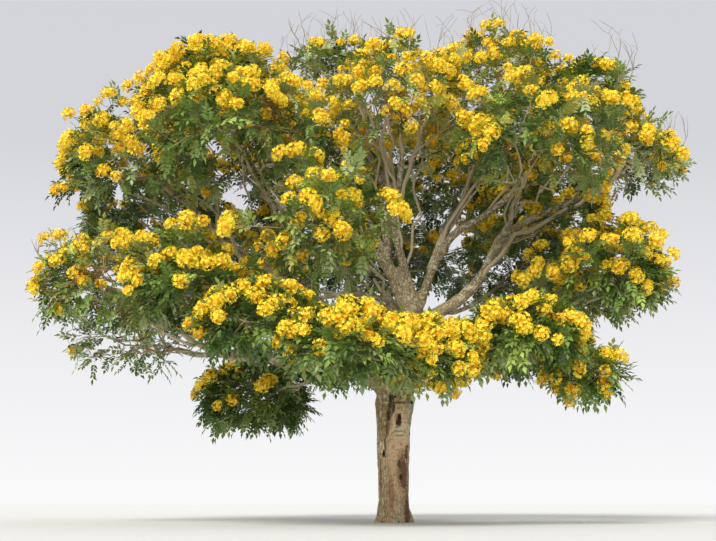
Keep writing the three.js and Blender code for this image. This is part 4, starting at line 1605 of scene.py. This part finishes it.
@dataclass
class SideBoughs:
    """The boughs that leave other boughs.

    Scales are in cells or lumps to a metre, across, over and along the limb.
    """

    tree: Tree
    name: str = "side_boughs"
    ring_step: float = 0.05
    ring_sides: int = 12
    girth_at: float = 0.4
    relief: float = 0.08  # of the half width
    lump_scale: Point = (16, 16, 7)
    crack_scale: Point = (30, 30, 7)
    crack_bed: float = 0.5

    def build(self) -> bpy.types.Object:
        """Makes them as one piece and dresses it.

        Returns:
            The piece.
        """
        limbs = self.tree.side_limbs
        pile = Pile()
        for limb in limbs:
            pile.add(*limb.tube(self.ring_step, self.ring_sides))
        mesh = pile.mesh(self.name)
        places = rows_of(mesh.vertices, "co")
        seating = Seating.of(places, limbs)
        grain = seating.grain(limbs)
        girths = np.array([limb.girth(self.girth_at) for limb in limbs])[seating.limb]
        height = self.relief * girths * (
            rolling(grain, self.lump_scale) + frayed(grain, self.crack_scale) - self.crack_bed)
        moulded(mesh, places + rows_of(mesh.vertex_normals, "vector") * height[:, None], grain)
        return shown(smoothed(mesh), [BOUGH_BARK.material()])


@dataclass
class Twigs:
    """The stems, twigs and dead shoots of every mass."""

    tree: Tree
    name: str = "twigs"
    foot_share: float = 0.62  # a twig's foot against the twig that it leaves
    point_share: float = 0.3  # its point against its tip
    dead_share: float = 0.7  # a dead shoot's width against a live one's
    guide: Point = (0.31, 0.17, 0.93)
    sway: float = 0.022  # how far a twig bends as an S, of its length
    shake: float = 0.012  # and how far each ring is off that

    def build(self) -> bpy.types.Object:
        """Makes them as one piece and dresses it.

        Returns:
            The piece.
        """
        pile = Pile()
        for kind in Growth:
            twigs = [twig for mass in self.tree.masses for twig in mass.twigs if twig.kind is kind]
            along = np.linspace(0, 1, kind.rings)
            lines = np.array([twig.points(along) for twig in twigs])
            lines = lines + kind.crook * self._waver(lines, along)
            widths = np.array([self._widths(twig, along) for twig in twigs])
            guides = unit(np.cross(lines[:, -1] - lines[:, 0], self.guide))
            corners, faces = rods(lines, guides, np.repeat(widths[:, :, None], kind.sides, 2))
            pile.add(corners, faces, int(kind is Growth.BARE))
        return shown(smoothed(pile.mesh(self.name)), [TWIG_BARK.material(), DEAD_WOOD.material()])

    def _widths(self, twig: Twig, along: Array) -> Array:
        """A twig's half widths, from its foot to a fine point.

        Args:
            twig: the twig.
            along: shares of its length.

        Returns:
            The half width at each.
        """
        is_stem = twig.kind is Growth.STEM
        foot = max(twig.start.wide * (1.0 if is_stem else self.foot_share), twig.middle.wide)
        widths = np.interp(along, (0, 0.5, 1), (foot, twig.middle.wide, twig.end.wide))
        widths[-1] = twig.end.wide * (1.0 if is_stem else self.point_share)
        return widths * (self.dead_share if twig.kind is Growth.BARE else 1.0)

    def _waver(self, lines: Array, along: Array) -> Array:
        """Small bends off the twigs' smooth curves.

        Args:
            lines: the twigs' middles, as (twigs, rings, 3).
            along: the shares of their length that these are at.

        Returns:
            How far each middle moves, in the same form.
        """
        dice = np.random.default_rng(SEED)
        long = np.linalg.norm(lines[:, -1] - lines[:, 0], axis=1)[:, None, None]
        bends = dice.normal(0, self.sway, (len(lines), 1, 3)) * np.sin(math.tau * along)[None, :, None]
        shakes = dice.normal(0, self.shake, lines.shape) * np.sin(math.pi * along)[None, :, None]
        return long * (bends + shakes)


class Tint(Enum):
    """The colours of the leaves."""

    DEEP = PlainFinish("leaf_deep", paint(76, 102, 42), 0.42)
    MID = PlainFinish("leaf_mid", paint(118, 144, 64), 0.42)
    GREY = PlainFinish("leaf_grey", paint(156, 172, 112), 0.48)
    OLIVE = PlainFinish("leaf_olive", paint(162, 164, 80), 0.46)
    YOUNG = PlainFinish("leaf_young", paint(164, 188, 92), 0.44)
    RUSSET = PlainFinish("leaf_russet", paint(134, 108, 62), 0.55)


class Petal(Enum):
    """The colours of the blossom."""

    BRIGHT = PlainFinish("petal_bright", paint(255, 232, 60), 0.6)
    YELLOW = PlainFinish("petal_yellow", paint(255, 220, 36), 0.6)
    GOLDEN = PlainFinish("petal_golden", paint(254, 204, 20), 0.6)
    # deep orange, mostly painted shade: for flowers in heads in the dark, and for the knots of buds
    SHADE_ORANGE = PlainFinish("petal_shade_orange", paint(244, 180, 14), 0.6)
    STALK = PlainFinish("blossom_stalk", paint(128, 132, 62), 0.7)


@dataclass
class Clothing:
    """What some masses wear, as one piece, each mass by its own chance."""

    masses: Sequence[Mass]
    name: str
    pile: Pile = field(default_factory=Pile)
    dice: np.random.Generator = field(init=False)

    def clothe(self, mass: Mass) -> None:
        """Adds what one mass wears."""
        raise NotImplementedError

    def made(self, finishes: type[Enum], salt: int) -> bpy.types.Object:
        """Makes the piece.

        Args:
            finishes: its finishes.
            salt: what sets its chance apart from that of the masses' other clothes.

        Returns:
            The piece.
        """
        for mass in self.masses:
            self.dice = np.random.default_rng(int(mass.seed * 1e6) + salt)
            self.clothe(mass)
        return shown(self.pile.mesh(self.name), [finish.value.material() for finish in finishes])


@dataclass
class Leaves(Clothing):
    """Feathered leaves: leaflets in pairs and one at the tip, hung from a curved rib."""

    first: float = 0.48  # how far up its twig the first leaf stands
    last_in_bloom: float = 0.86  # and the last one, on a twig in flower
    turn: float = 2.4  # from each leaf to the next, round the twig
    look_ahead: float = 0.01  # along the twig, to find its direction at a leaf
    guide: Point = (0.3, 0.2, 0.93)
    heading: Span = (0.4, 0.45)  # along the twig and out of the mass, against away from it
    scatter: float = 0.22
    long: float = 0.24
    long_spread: Span = (0.78, 1.18)
    droop: float = 0.14
    droop_spread: Span = (0.5, 1.5)
    roll: float = 0.35
    rib: float = 0.0024  # its half width
    pairs: tuple[float, ...] = (0.25, 0.44, 0.63, 0.82)
    leaflet: float = 0.096
    leaflet_spread: Span = (0.82, 1.08)
    leaflet_way: Point = (0.85, 0.1, 0.62)  # aside, down and along the rib
    leaflet_scatter: float = 0.13
    end_leaflet: float = 1.1  # against the others
    end_droop: float = 0.15
    end_scatter: float = 0.12
    leaflet_wide: float = 0.5  # of its length
    widest: float = 0.42  # how far up it is widest
    fold: float = 0.18
    curl: float = 0.04
    stray_tints: float = 0.2  # leaves that don't keep to their spray's colour
    in_shade: tuple[float, ...] = (2.0, 1.0, 0.8, 0.4, 0.15, 0.8)  # against the tints' shares

    def build(self) -> bpy.types.Object:
        """Makes the leaves of the masses."""
        return self.made(Tint, 0)

    def clothe(self, mass: Mass) -> None:
        """Sets the leaves of one mass on its twigs.

        Args:
            mass: the mass.
        """
        dice = self.dice
        count = mass.plan.leafage.leaves
        twigs = [twig for twig in mass.twigs if twig.kind is Growth.LEAFY]
        along = self.first + (1 - self.first) * (np.arange(count) + 1) / count
        ends = [self.last_in_bloom if mass.blooms(twig) else 1.0 for twig in twigs]
        roots = np.array([twig.points(along * end) for twig, end in zip(twigs, ends)])
        ahead = np.array([twig.points(along * end + self.look_ahead) for twig, end in zip(twigs, ends)])
        ways = unit(ahead - roots).reshape(-1, 3)
        roots = roots.reshape(-1, 3)
        spin = (dice.uniform(0, math.tau, (len(twigs), 1)) + np.arange(count) * self.turn).reshape(-1, 1)
        frames = squared(ways, np.tile(self.guide, (len(roots), 1)))
        spokes = frames[:, 0] * np.cos(spin) + frames[:, 1] * np.sin(spin)
        ahead_share, out_share = self.heading
        outward = unit((roots - mass.heart) / mass.half)
        heads = unit(spokes + ahead_share * frames[:, 2] + out_share * outward
                     + dice.normal(0, self.scatter, roots.shape))
        sizes = dice.uniform(*self.long_spread, len(roots))
        lit = np.array([[mass.exposed(twig)] for twig in twigs])
        shares = np.array(mass.plan.leafage.shares) * between(np.array(self.in_shade), 1.0, lit)
        steps = np.repeat(np.cumsum(shares, 1) / shares.sum(1, keepdims=True), count, 0)
        throw = np.repeat(dice.random(len(twigs)), count)
        stray = dice.random(len(roots)) < self.stray_tints
        throw[stray] = dice.random(stray.sum())
        self._leaves(roots, heads, sizes, (throw[:, None] > steps).sum(1))

    def _leaves(self, roots: Array, heads: Array, sizes: Array, tints: Array) -> None:
        """Adds leaves that leave their roots along their heads' directions.

        Args:
            roots: where the leaves stand.
            heads: their first directions.
            sizes: their scales.
            tints: their colours' numbers.
        """
        dice = self.dice
        hang = self.droop * dice.uniform(*self.droop_spread, (len(roots), 1))
        roll = dice.normal(0, self.roll, (len(roots), 1))
        long = self.long * sizes[:, None]

        def rib(share: float) -> Array:
            """The ribs' places at a share of their length."""
            return roots + long * (share * heads - hang * share**2 * UP)

        def frame_at(share: float) -> Array:
            """The ribs' frames, rolled a little.

            Args:
                share: how far along the ribs.

            Returns:
                The frames, as (ribs, 3, 3).
            """
            frames = squared(heads - 2 * hang * share * UP, np.tile(UP, (len(heads), 1)) + 1e-3)
            across = frames[:, 0] * np.cos(roll) + frames[:, 1] * np.sin(roll)
            return np.stack([across, np.cross(frames[:, 2], across), frames[:, 2]], 1)

        ribbon = [rib(share) + side * self.rib * frame_at(share)[:, 0]
                  for share in (0.0, 1.0) for side in (-1, 1)]
        strip = np.array([[0, 1, 3, 2]])
        self.pile.add(np.stack(ribbon, 1).reshape(-1, 3), repeated(strip, len(roots), 4), tints)
        aside, down, on = self.leaflet_way
        for share in self.pairs:
            frames = frame_at(share)
            for side in (-1, 1):
                ways = unit(on * frames[:, 2] + side * aside * frames[:, 0] - down * UP
                            + dice.normal(0, self.leaflet_scatter, roots.shape))
                scale = self.leaflet * sizes * dice.uniform(*self.leaflet_spread, len(roots))
                self._leaflets(rib(share), ways, frames[:, 1], scale, tints)
        frames = frame_at(1.0)
        ways = unit(frames[:, 2] - self.end_droop * UP + dice.normal(0, self.end_scatter, roots.shape))
        self._leaflets(rib(1.0), ways, frames[:, 1], self.leaflet * self.end_leaflet * sizes, tints)

    def _leaflets(self, roots: Array, ways: Array, tops: Array, sizes: Array, tints: Array) -> None:
        """Adds leaflets, each a pointed blade folded along its middle.

        Args:
            roots: where the leaflets start.
            ways: their directions.
            tops: the directions that their upper sides face.
            sizes: their lengths.
            tints: their colours' numbers.
        """
        half = self.leaflet_wide / 2
        rise = self.fold * self.leaflet_wide
        corners = np.array([(0, 0, 0), (-half, rise, self.widest), (0, -self.curl, 1),
                            (half, rise, self.widest)])
        faces = np.array([[0, 2, 1], [0, 3, 2]])
        across = unit(np.cross(ways, tops))
        frames = np.stack([across, np.cross(across, ways), ways], 1)
        placed = stamped(corners, roots, frames, sizes)
        self.pile.add(placed.reshape(-1, 3), repeated(faces, len(roots), 4), np.repeat(tints, 2))


# The triangles of a knot of buds: a pole, two rings of five, numbered in turn, and a pole.
KNOT_FACES = np.array([face for k in range(5) for face in (
    (0, 1 + 2 * k, 1 + (2 * k + 2) % 10), (1 + 2 * k, 2 + 2 * k, 1 + (2 * k + 2) % 10),
    (2 + 2 * k, 1 + (2 * k + 3) % 10, 1 + (2 * k + 2) % 10), (11, 1 + (2 * k + 3) % 10, 2 + 2 * k))])


@dataclass
class Blossom(Clothing):
    """Upright heads of trumpet flowers, in clumps at the tips of the flowering twigs."""

    stand: float = 0.13  # a head's middle beyond its twig's tip
    clump_way: Point = (0.3, 0.6, 0.5)  # on along the twig, out of the mass and up
    clump_spread: Span = (0.85, 1.18)
    in_dark: float = 0.7  # its size where no light comes
    beside: float = 0.25  # between a clump's middle head and the others
    most_beside: int = 2
    beside_chance: Span = (0.25, 0.95)  # in the dark and in full light
    beside_scatter: float = 0.3
    beside_spread: Span = (0.85, 1.2)
    beside_sizes: Span = (0.65, 0.95)
    beside_level: float = 0.35  # what is left of their way up or down
    beside_drop: float = 0.06
    beside_lean: float = 0.5
    guide: Point = (0.9, 0.2, 0.1)
    stalk: float = 0.005  # its half width
    stalk_sag: float = 0.02
    stalk_guide: Point = (0.37, 0.61, 0.11)
    stalk_foot: float = 0.1  # how far below the twig's tip the stalks part
    flowers: int = 41  # of a whole head
    least_flowers: int = 7
    reach: float = 0.12
    reach_spread: Span = (0.82, 1.12)
    tall: float = 0.74
    domed: float = 1.6  # how far round a head its flowers go: 1 is its upper half
    turn: float = 2.39996  # from each flower to the next round the head
    scatter: float = 0.34
    flower: float = 0.043  # from its foot to its lobes
    flower_spread: Span = (0.88, 1.12)
    lobe: float = 0.42  # half of its turn round the flower
    lobe_ends: tuple[Span, Span] = ((0.62, 1.0), (0.74, 0.78))  # its corners, out and up
    throat: float = 0.45  # how high the throat is
    knot_ring: Span = (0.89, 0.45)
    knot_spread: Span = (0.4, 0.7)
    bright_shares: Span = (0.2, 0.66)  # in the dark and in full light
    deep_shares: Span = (0.35, 0.03)
    golden_share: float = 0.08

    def build(self) -> bpy.types.Object:
        """Makes the blossom of the masses."""
        return self.made(Petal, 1)

    def clothe(self, mass: Mass) -> None:
        """Sets the heads of one mass on its flowering twigs.

        Args:
            mass: the mass.
        """
        on, out, up = self.clump_way
        for twig in mass.twigs:
            if twig.kind is not Growth.LEAFY or not mass.blooms(twig):
                continue
            exposed = mass.exposed(twig)
            size = between(self.in_dark, 1.0, exposed) * self.dice.uniform(*self.clump_spread)
            away = unit((twig.end.place - mass.heart) / mass.half)
            way = unit(on * twig.end.way + out * away + up * UP)
            self._clump(twig.end.place, way, size, exposed)

    def _clump(self, tip: Array, way: Array, size: float, exposed: float) -> None:
        """Adds a middle head and some beside it, each on its stalk.

        Args:
            tip: the twig's tip.
            way: the clump's axis.
            size: its scale.
            exposed: how much light it gets, 0 to 1.
        """
        dice = self.dice
        beside = dice.binomial(self.most_beside, between(*self.beside_chance, exposed))
        across, over, _ = self._frame(way)
        turns = dice.uniform(0, math.tau) + np.arange(beside) * math.tau / max(beside, 1)
        stand = [(tip + way * self.stand, way, size)]
        for turn in turns + dice.normal(0, self.beside_scatter, beside):
            side = unit((across * math.cos(turn) + over * math.sin(turn)) * (1, 1, self.beside_level))
            away = self.beside * size * dice.uniform(*self.beside_spread)
            spot = tip + away * side + way * (self.stand - self.beside_drop)
            axis = unit(way + self.beside_lean * side)
            stand.append((spot, axis, size * dice.uniform(*self.beside_sizes)))
        for spot, axis, scale in stand:
            self._head(spot, axis, scale, exposed)
        foot = tip - way * self.stalk_foot
        lines = np.array([[foot, (foot + spot) / 2 - self.stalk_sag * UP, spot] for spot, _, _ in stand])
        guides = np.tile(self.stalk_guide, (len(lines), 1))
        stalks = rods(lines, guides, np.full((len(lines), 3, 3), self.stalk))
        self.pile.add(*stalks, list(Petal).index(Petal.STALK))

    def _head(self, place: Array, way: Array, size: float, exposed: float) -> None:
        """Adds one head of flowers round a knot of buds.

        Args:
            place: its middle.
            way: its axis.
            size: its scale.
            exposed: how much light it gets, 0 to 1.
        """
        dice = self.dice
        count = max(self.least_flowers, round(self.flowers * size * size))
        number = np.arange(count)
        rise = 1 - self.domed * (number + 0.5) / count
        turn = number * self.turn + dice.uniform(0, math.tau)
        out = np.sqrt(np.maximum(1 - rise**2, 0))
        frame_of_head = self._frame(way)
        dome = np.stack([out * np.cos(turn), out * np.sin(turn), rise], -1)
        ways = unit(dome @ frame_of_head + dice.normal(0, self.scatter, (count, 3)))
        reach = self.reach * size
        roots = place + (dome * (1, 1, self.tall)) @ frame_of_head * (
            reach * dice.uniform(*self.reach_spread, (count, 1)) - self.flower)
        sizes = self.flower * dice.uniform(*self.flower_spread, count)
        guides = unit(dice.normal(0, 1, (count, 3)))
        placed = stamped(self._trumpet(), roots, squared(ways, guides), sizes).reshape(-1, 3)
        # painted light and shade: heads in full light get more bright petals, heads in the dark more
        # deep orange
        bright = between(*self.bright_shares, exposed)
        deep = between(*self.deep_shares, exposed)
        plain = 1 - self.golden_share - bright - deep
        tints = dice.choice(4, count, p=(bright, plain, self.golden_share, deep))
        lobes = np.array([[0, 1 + 2 * k, 2 + 2 * k] for k in range(5)])
        self.pile.add(placed, repeated(lobes, count, 11), np.repeat(tints, 5))
        # the knot of buds in deep orange, which also stands for painted shade in the gaps between the
        # flowers
        knot = self._knot() * (1, 1, self.tall) * reach * dice.uniform(*self.knot_spread, (12, 1))
        self.pile.add(place + knot @ frame_of_head, KNOT_FACES, list(Petal).index(Petal.SHADE_ORANGE))

    def _frame(self, way: Array) -> Array:
        """A head's own frame: across it, over it and along its axis."""
        return squared(way[None], np.array([self.guide]))[0]

    def _trumpet(self) -> Array:
        """A flower's corners: its throat, and the two outer corners of each lobe.

        Returns:
            The corners, as (11, 3).
        """
        turns = np.repeat(np.arange(5) * math.tau / 5, 2) + np.tile((-self.lobe, self.lobe), 5)
        wide, level = np.tile(np.array(self.lobe_ends).T, 5)
        lobes = np.stack([wide * np.cos(turns), wide * np.sin(turns), level], -1)
        return np.vstack([(0, 0, self.throat), lobes])

    def _knot(self) -> Array:
        """The corners of the knot of buds: a pole, two rings of five and a pole.

        Returns:
            The corners, as (12, 3).
        """
        turns = np.arange(10) * math.tau / 10
        wide, level = self.knot_ring
        levels = np.where(np.arange(10) % 2 == 0, level, -level)
        ring = np.stack([wide * np.cos(turns), wide * np.sin(turns), levels], -1)
        return np.vstack([(0, 0, 1), ring, (0, 0, -1)])


@dataclass
class Studio:
    """The floor, the light and the camera at the photograph's viewing angle."""

    eye: Point = (-0.51, -15.0, 0.30)
    tilt: float = 13.0
    focus: float = 1000 / 716  # focal length against the picture's width
    sensor: float = 36.0
    floor_size: float = 160.0
    sun_turn: Point = (46.0, -26.0, 0.0)  # from straight down, in degrees
    sun_spread: float = 28.0
    sun_energy: float = 2.9
    sun_colour: Point = (1.0, 0.97, 0.91)
    # Heights as the sine of the angle above the horizon, and the sky's colour there.
    sky: tuple[tuple[float, Colour], ...] = (
        (0.0, paint(250, 250, 251)), (0.16, paint(236, 236, 239)),
        (0.34, paint(212, 213, 218)), (1.0, paint(208, 209, 214)))

    def build(self) -> None:
        """Sets the studio up."""
        self._camera()
        self._floor()
        self._sun()
        self._sky()
        bpy.context.scene.view_settings.view_transform = "Standard"

    def _camera(self) -> None:
        """Stands the camera low in front, tilted up."""
        data = bpy.data.cameras.new("camera")
        data.sensor_width = self.sensor
        data.lens = self.focus * self.sensor
        camera = bpy.data.objects.new("camera", data)
        camera.location = self.eye
        camera.rotation_euler = (math.radians(90 + self.tilt), 0, 0)
        bpy.context.scene.collection.objects.link(camera)
        bpy.context.scene.camera = camera

    def _floor(self) -> None:
        """Lays the pale floor."""
        half = self.floor_size / 2
        pile = Pile()
        corners = [(-half, -half, 0), (half, -half, 0), (half, half, 0), (-half, half, 0)]
        pile.add(np.array(corners, float), np.array([[0, 1, 2, 3]]))
        pale = PlainFinish("pale_floor", paint(226, 226, 222), 0.9)
        shown(pile.mesh("floor"), [pale.material()])

    def _sun(self) -> None:
        """Hangs the soft main light up on the left, in front."""
        data = bpy.data.lights.new("sun", "SUN")
        data.energy = self.sun_energy
        data.angle = math.radians(self.sun_spread)
        data.color = self.sun_colour
        sun = bpy.data.objects.new("sun", data)
        sun.rotation_euler = [math.radians(turn) for turn in self.sun_turn]
        bpy.context.scene.collection.objects.link(sun)

    def _sky(self) -> None:
        """Lights all round with an even pale sky, whiter towards the horizon."""
        world = bpy.data.worlds.new("sky")
        bpy.context.scene.world = world
        nodes = Nodes(world)
        place = nodes.node("ShaderNodeTexCoord", None, None, "Generated")
        height = nodes.node("ShaderNodeSeparateXYZ", None, {0: place}, "Z")
        colour = nodes.node("ShaderNodeValToRGB", {"stops": self.sky}, {0: height})
        backdrop = nodes.tree.nodes["Background"]
        nodes.feed(backdrop.inputs["Color"], colour)
        nodes.feed(backdrop.inputs["Strength"], 1.0)


def over_limbs(down: float, colour: Colour, strength: float, fray: float) -> StainAndShade:
    """A patch on all the limbs, from far above them down: painted shade under the crown where it is
    dark, lichen where it is pale.
    """
    return StainAndShade((0.0, 0.0, 12.0), (60.0, 60.0, down), colour, strength, fray)


TWIG_BARK = PlainFinish("twig_bark", paint(174, 161, 131), 0.8)
DEAD_WOOD = PlainFinish("dead_wood", paint(158, 144, 122), 0.85)
TRUNK_BARK = BarkFinish(
    "trunk_bark", paint(184, 166, 118), paint(142, 124, 82), paint(70, 56, 36),
    paint(212, 208, 182), plate=0.04, lichen_share=0.07,
    grounds_and_shade=(
        StainAndShade((0.0, 0.0, 0.5), (0.6, 0.6, 1.35), paint(206, 178, 136)),
        StainAndShade((0.1, -0.22, 0.95), (0.24, 0.22, 0.98), paint(232, 202, 160)),
        StainAndShade((0.1, -0.24, 1.25), (0.2, 0.2, 0.6), paint(222, 184, 148), 0.55, 3.0),
        StainAndShade((0.02, -0.24, 0.7), (0.2, 0.2, 0.6), paint(206, 170, 132), 0.55, 3.0),
        StainAndShade((-0.15, -0.2, 1.52), (0.13, 0.2, 0.40), paint(150, 130, 84), 0.85),
        StainAndShade((0.25, -0.12, 1.45), (0.08, 0.2, 0.36), paint(206, 204, 170), 0.7),
        StainAndShade((-0.17, -0.16, 1.06), (0.07, 0.12, 0.10), paint(240, 226, 184), 0.85),
        StainAndShade((0.1, -0.26, 1.31), (0.09, 0.12, 0.10), paint(222, 208, 172), 0.7),
        StainAndShade((0.12, -0.25, 1.84), (0.2, 0.16, 0.12), paint(138, 120, 70), 0.8),
        # painted shade: the limbs darker upwards, under the crown
        over_limbs(10.4, paint(122, 110, 80), 0.6, 2.5),
    ),
    stains_and_shade=(
        # painted shade: the limbs darker upwards, under the crown
        over_limbs(10.0, paint(98, 86, 58), 0.5, 3.2),
        over_limbs(8.0, paint(204, 203, 188), 0.6, -3.0),
        # painted shade in the furrow between the left column and the rest, and in the seam below it
        StainAndShade((-0.02, -0.25, 1.7), (0.065, 0.12, 0.2), paint(36, 28, 16)),
        StainAndShade((-0.05, -0.25, 1.52), (0.04, 0.12, 0.15), paint(46, 35, 18), 0.9),
        StainAndShade((-0.085, -0.24, 1.34), (0.02, 0.12, 0.18), paint(84, 66, 40), 0.85),
        StainAndShade((-0.115, -0.22, 1.12), (0.018, 0.12, 0.16), paint(92, 72, 46), 0.8),
        # painted shade in the hole under the knob, and in the groove lower down
        StainAndShade((-0.135, -0.18, 0.975), (0.03, 0.08, 0.06), paint(44, 34, 22)),
        StainAndShade((-0.18, -0.14, 0.66), (0.014, 0.1, 0.3), paint(88, 70, 46), 0.7),
        # painted shade in the knothole
        StainAndShade((0.1, -0.2, 1.49), (0.036, 0.14, 0.09), paint(58, 40, 22), 1.0, 1.3),
        StainAndShade((0.088, -0.22, 1.425), (0.055, 0.14, 0.07), paint(66, 47, 26), 0.95, 1.3),
        StainAndShade((0.15, -0.2, 0.74), (0.13, 0.16, 0.4), paint(156, 118, 82), 0.8, 1.7),
        StainAndShade((0.17, -0.2, 0.7), (0.09, 0.16, 0.33), paint(106, 74, 50), 0.9, 1.6),
        StainAndShade((0.2, -0.18, 0.98), (0.035, 0.14, 0.14), paint(92, 64, 44), 0.85, 1.3),
        StainAndShade((0.09, -0.22, 0.83), (0.035, 0.12, 0.08), paint(78, 54, 38), 0.9, 1.2),
        StainAndShade((0.115, -0.22, 0.64), (0.05, 0.12, 0.075), paint(62, 44, 32), 0.9, 1.1),
        # painted shade in the small hole in the rot
        StainAndShade((0.11, -0.23, 0.645), (0.02, 0.12, 0.026), paint(34, 25, 19)),
        StainAndShade((0.21, -0.14, 0.2), (0.06, 0.16, 0.34), paint(96, 68, 46), 0.9, 1.9),
        # the pale lips healed under the knothole, with painted shade in the creases between them
        StainAndShade((0.1, -0.27, 1.335), (0.11, 0.12, 0.022), paint(216, 210, 180), 0.75, 0.6),
        StainAndShade((0.1, -0.27, 1.3), (0.095, 0.12, 0.011), paint(112, 94, 66), 0.7, 0.5),
        StainAndShade((0.1, -0.27, 1.27), (0.115, 0.12, 0.02), paint(210, 204, 174), 0.7, 0.6),
        StainAndShade((0.1, -0.27, 1.237), (0.1, 0.12, 0.011), paint(116, 98, 70), 0.65, 0.5),
        StainAndShade((0.1, -0.27, 1.207), (0.11, 0.12, 0.018), paint(206, 198, 168), 0.6, 0.6),
        StainAndShade((-0.02, -0.22, 0.4), (0.05, 0.12, 0.26), paint(150, 96, 70), 0.6, 2.4),
        # painted shade along the ledge under the old stub's collar
        StainAndShade((0.1, -0.26, 1.715), (0.17, 0.12, 0.02), paint(92, 70, 42), 0.75, 1.6),
        # painted shade in small hollows
        StainAndShade((0.16, -0.26, 1.84), (0.035, 0.12, 0.03), paint(50, 38, 22)),
        StainAndShade((0.03, -0.28, 1.8), (0.03, 0.12, 0.025), paint(60, 46, 28)),
        StainAndShade((0.29, -0.14, 1.74), (0.028, 0.1, 0.035), paint(42, 32, 20)),
        StainAndShade((0.255, -0.14, 1.27), (0.016, 0.1, 0.022), paint(56, 42, 26)),
        StainAndShade((0.215, -0.16, 1.08), (0.022, 0.1, 0.035), paint(110, 70, 48), 0.9, 2.0),
    ),
    smooth=StainAndShade(*SMOOTH_FACE, None, 0.85))
BOUGH_BARK = BarkFinish(
    "bough_bark", paint(184, 172, 136), paint(142, 128, 94), paint(74, 62, 42),
    paint(212, 211, 194), plate=0.022, lichen_share=0.12)


def main() -> None:
    """Builds the tree piece by piece and sets it in the studio."""
    logging.basicConfig(level=logging.INFO, format="%(message)s")
    Studio().build()
    tree = Tree()
    LOG.info("%d twigs", sum(len(mass.twigs) for mass in tree.masses))
    settle(TrunkAndLimbs(tree).build(), [limb.name for limb in tree.main_limbs])
    settle(SideBoughs(tree).build(), [limb.name for limb in tree.side_limbs])
    settle(Twigs(tree).build())
    by_side = sorted(tree.masses, key=lambda mass: mass.heart[0])
    sides = ("left", "middle_left", "middle_right", "right")
    cuts = [k * len(by_side) // len(sides) for k in range(len(sides) + 1)]
    for side, first, last in zip(sides, cuts, cuts[1:]):
        masses = by_side[first:last]
        nodes = [f"foliage_{mass.plan.name}" for mass in masses]
        settle(Leaves(masses, f"leaves_{side}").build(), nodes)
        settle(Blossom(masses, f"blossom_{side}").build())


if __name__ == "__main__":
    main()
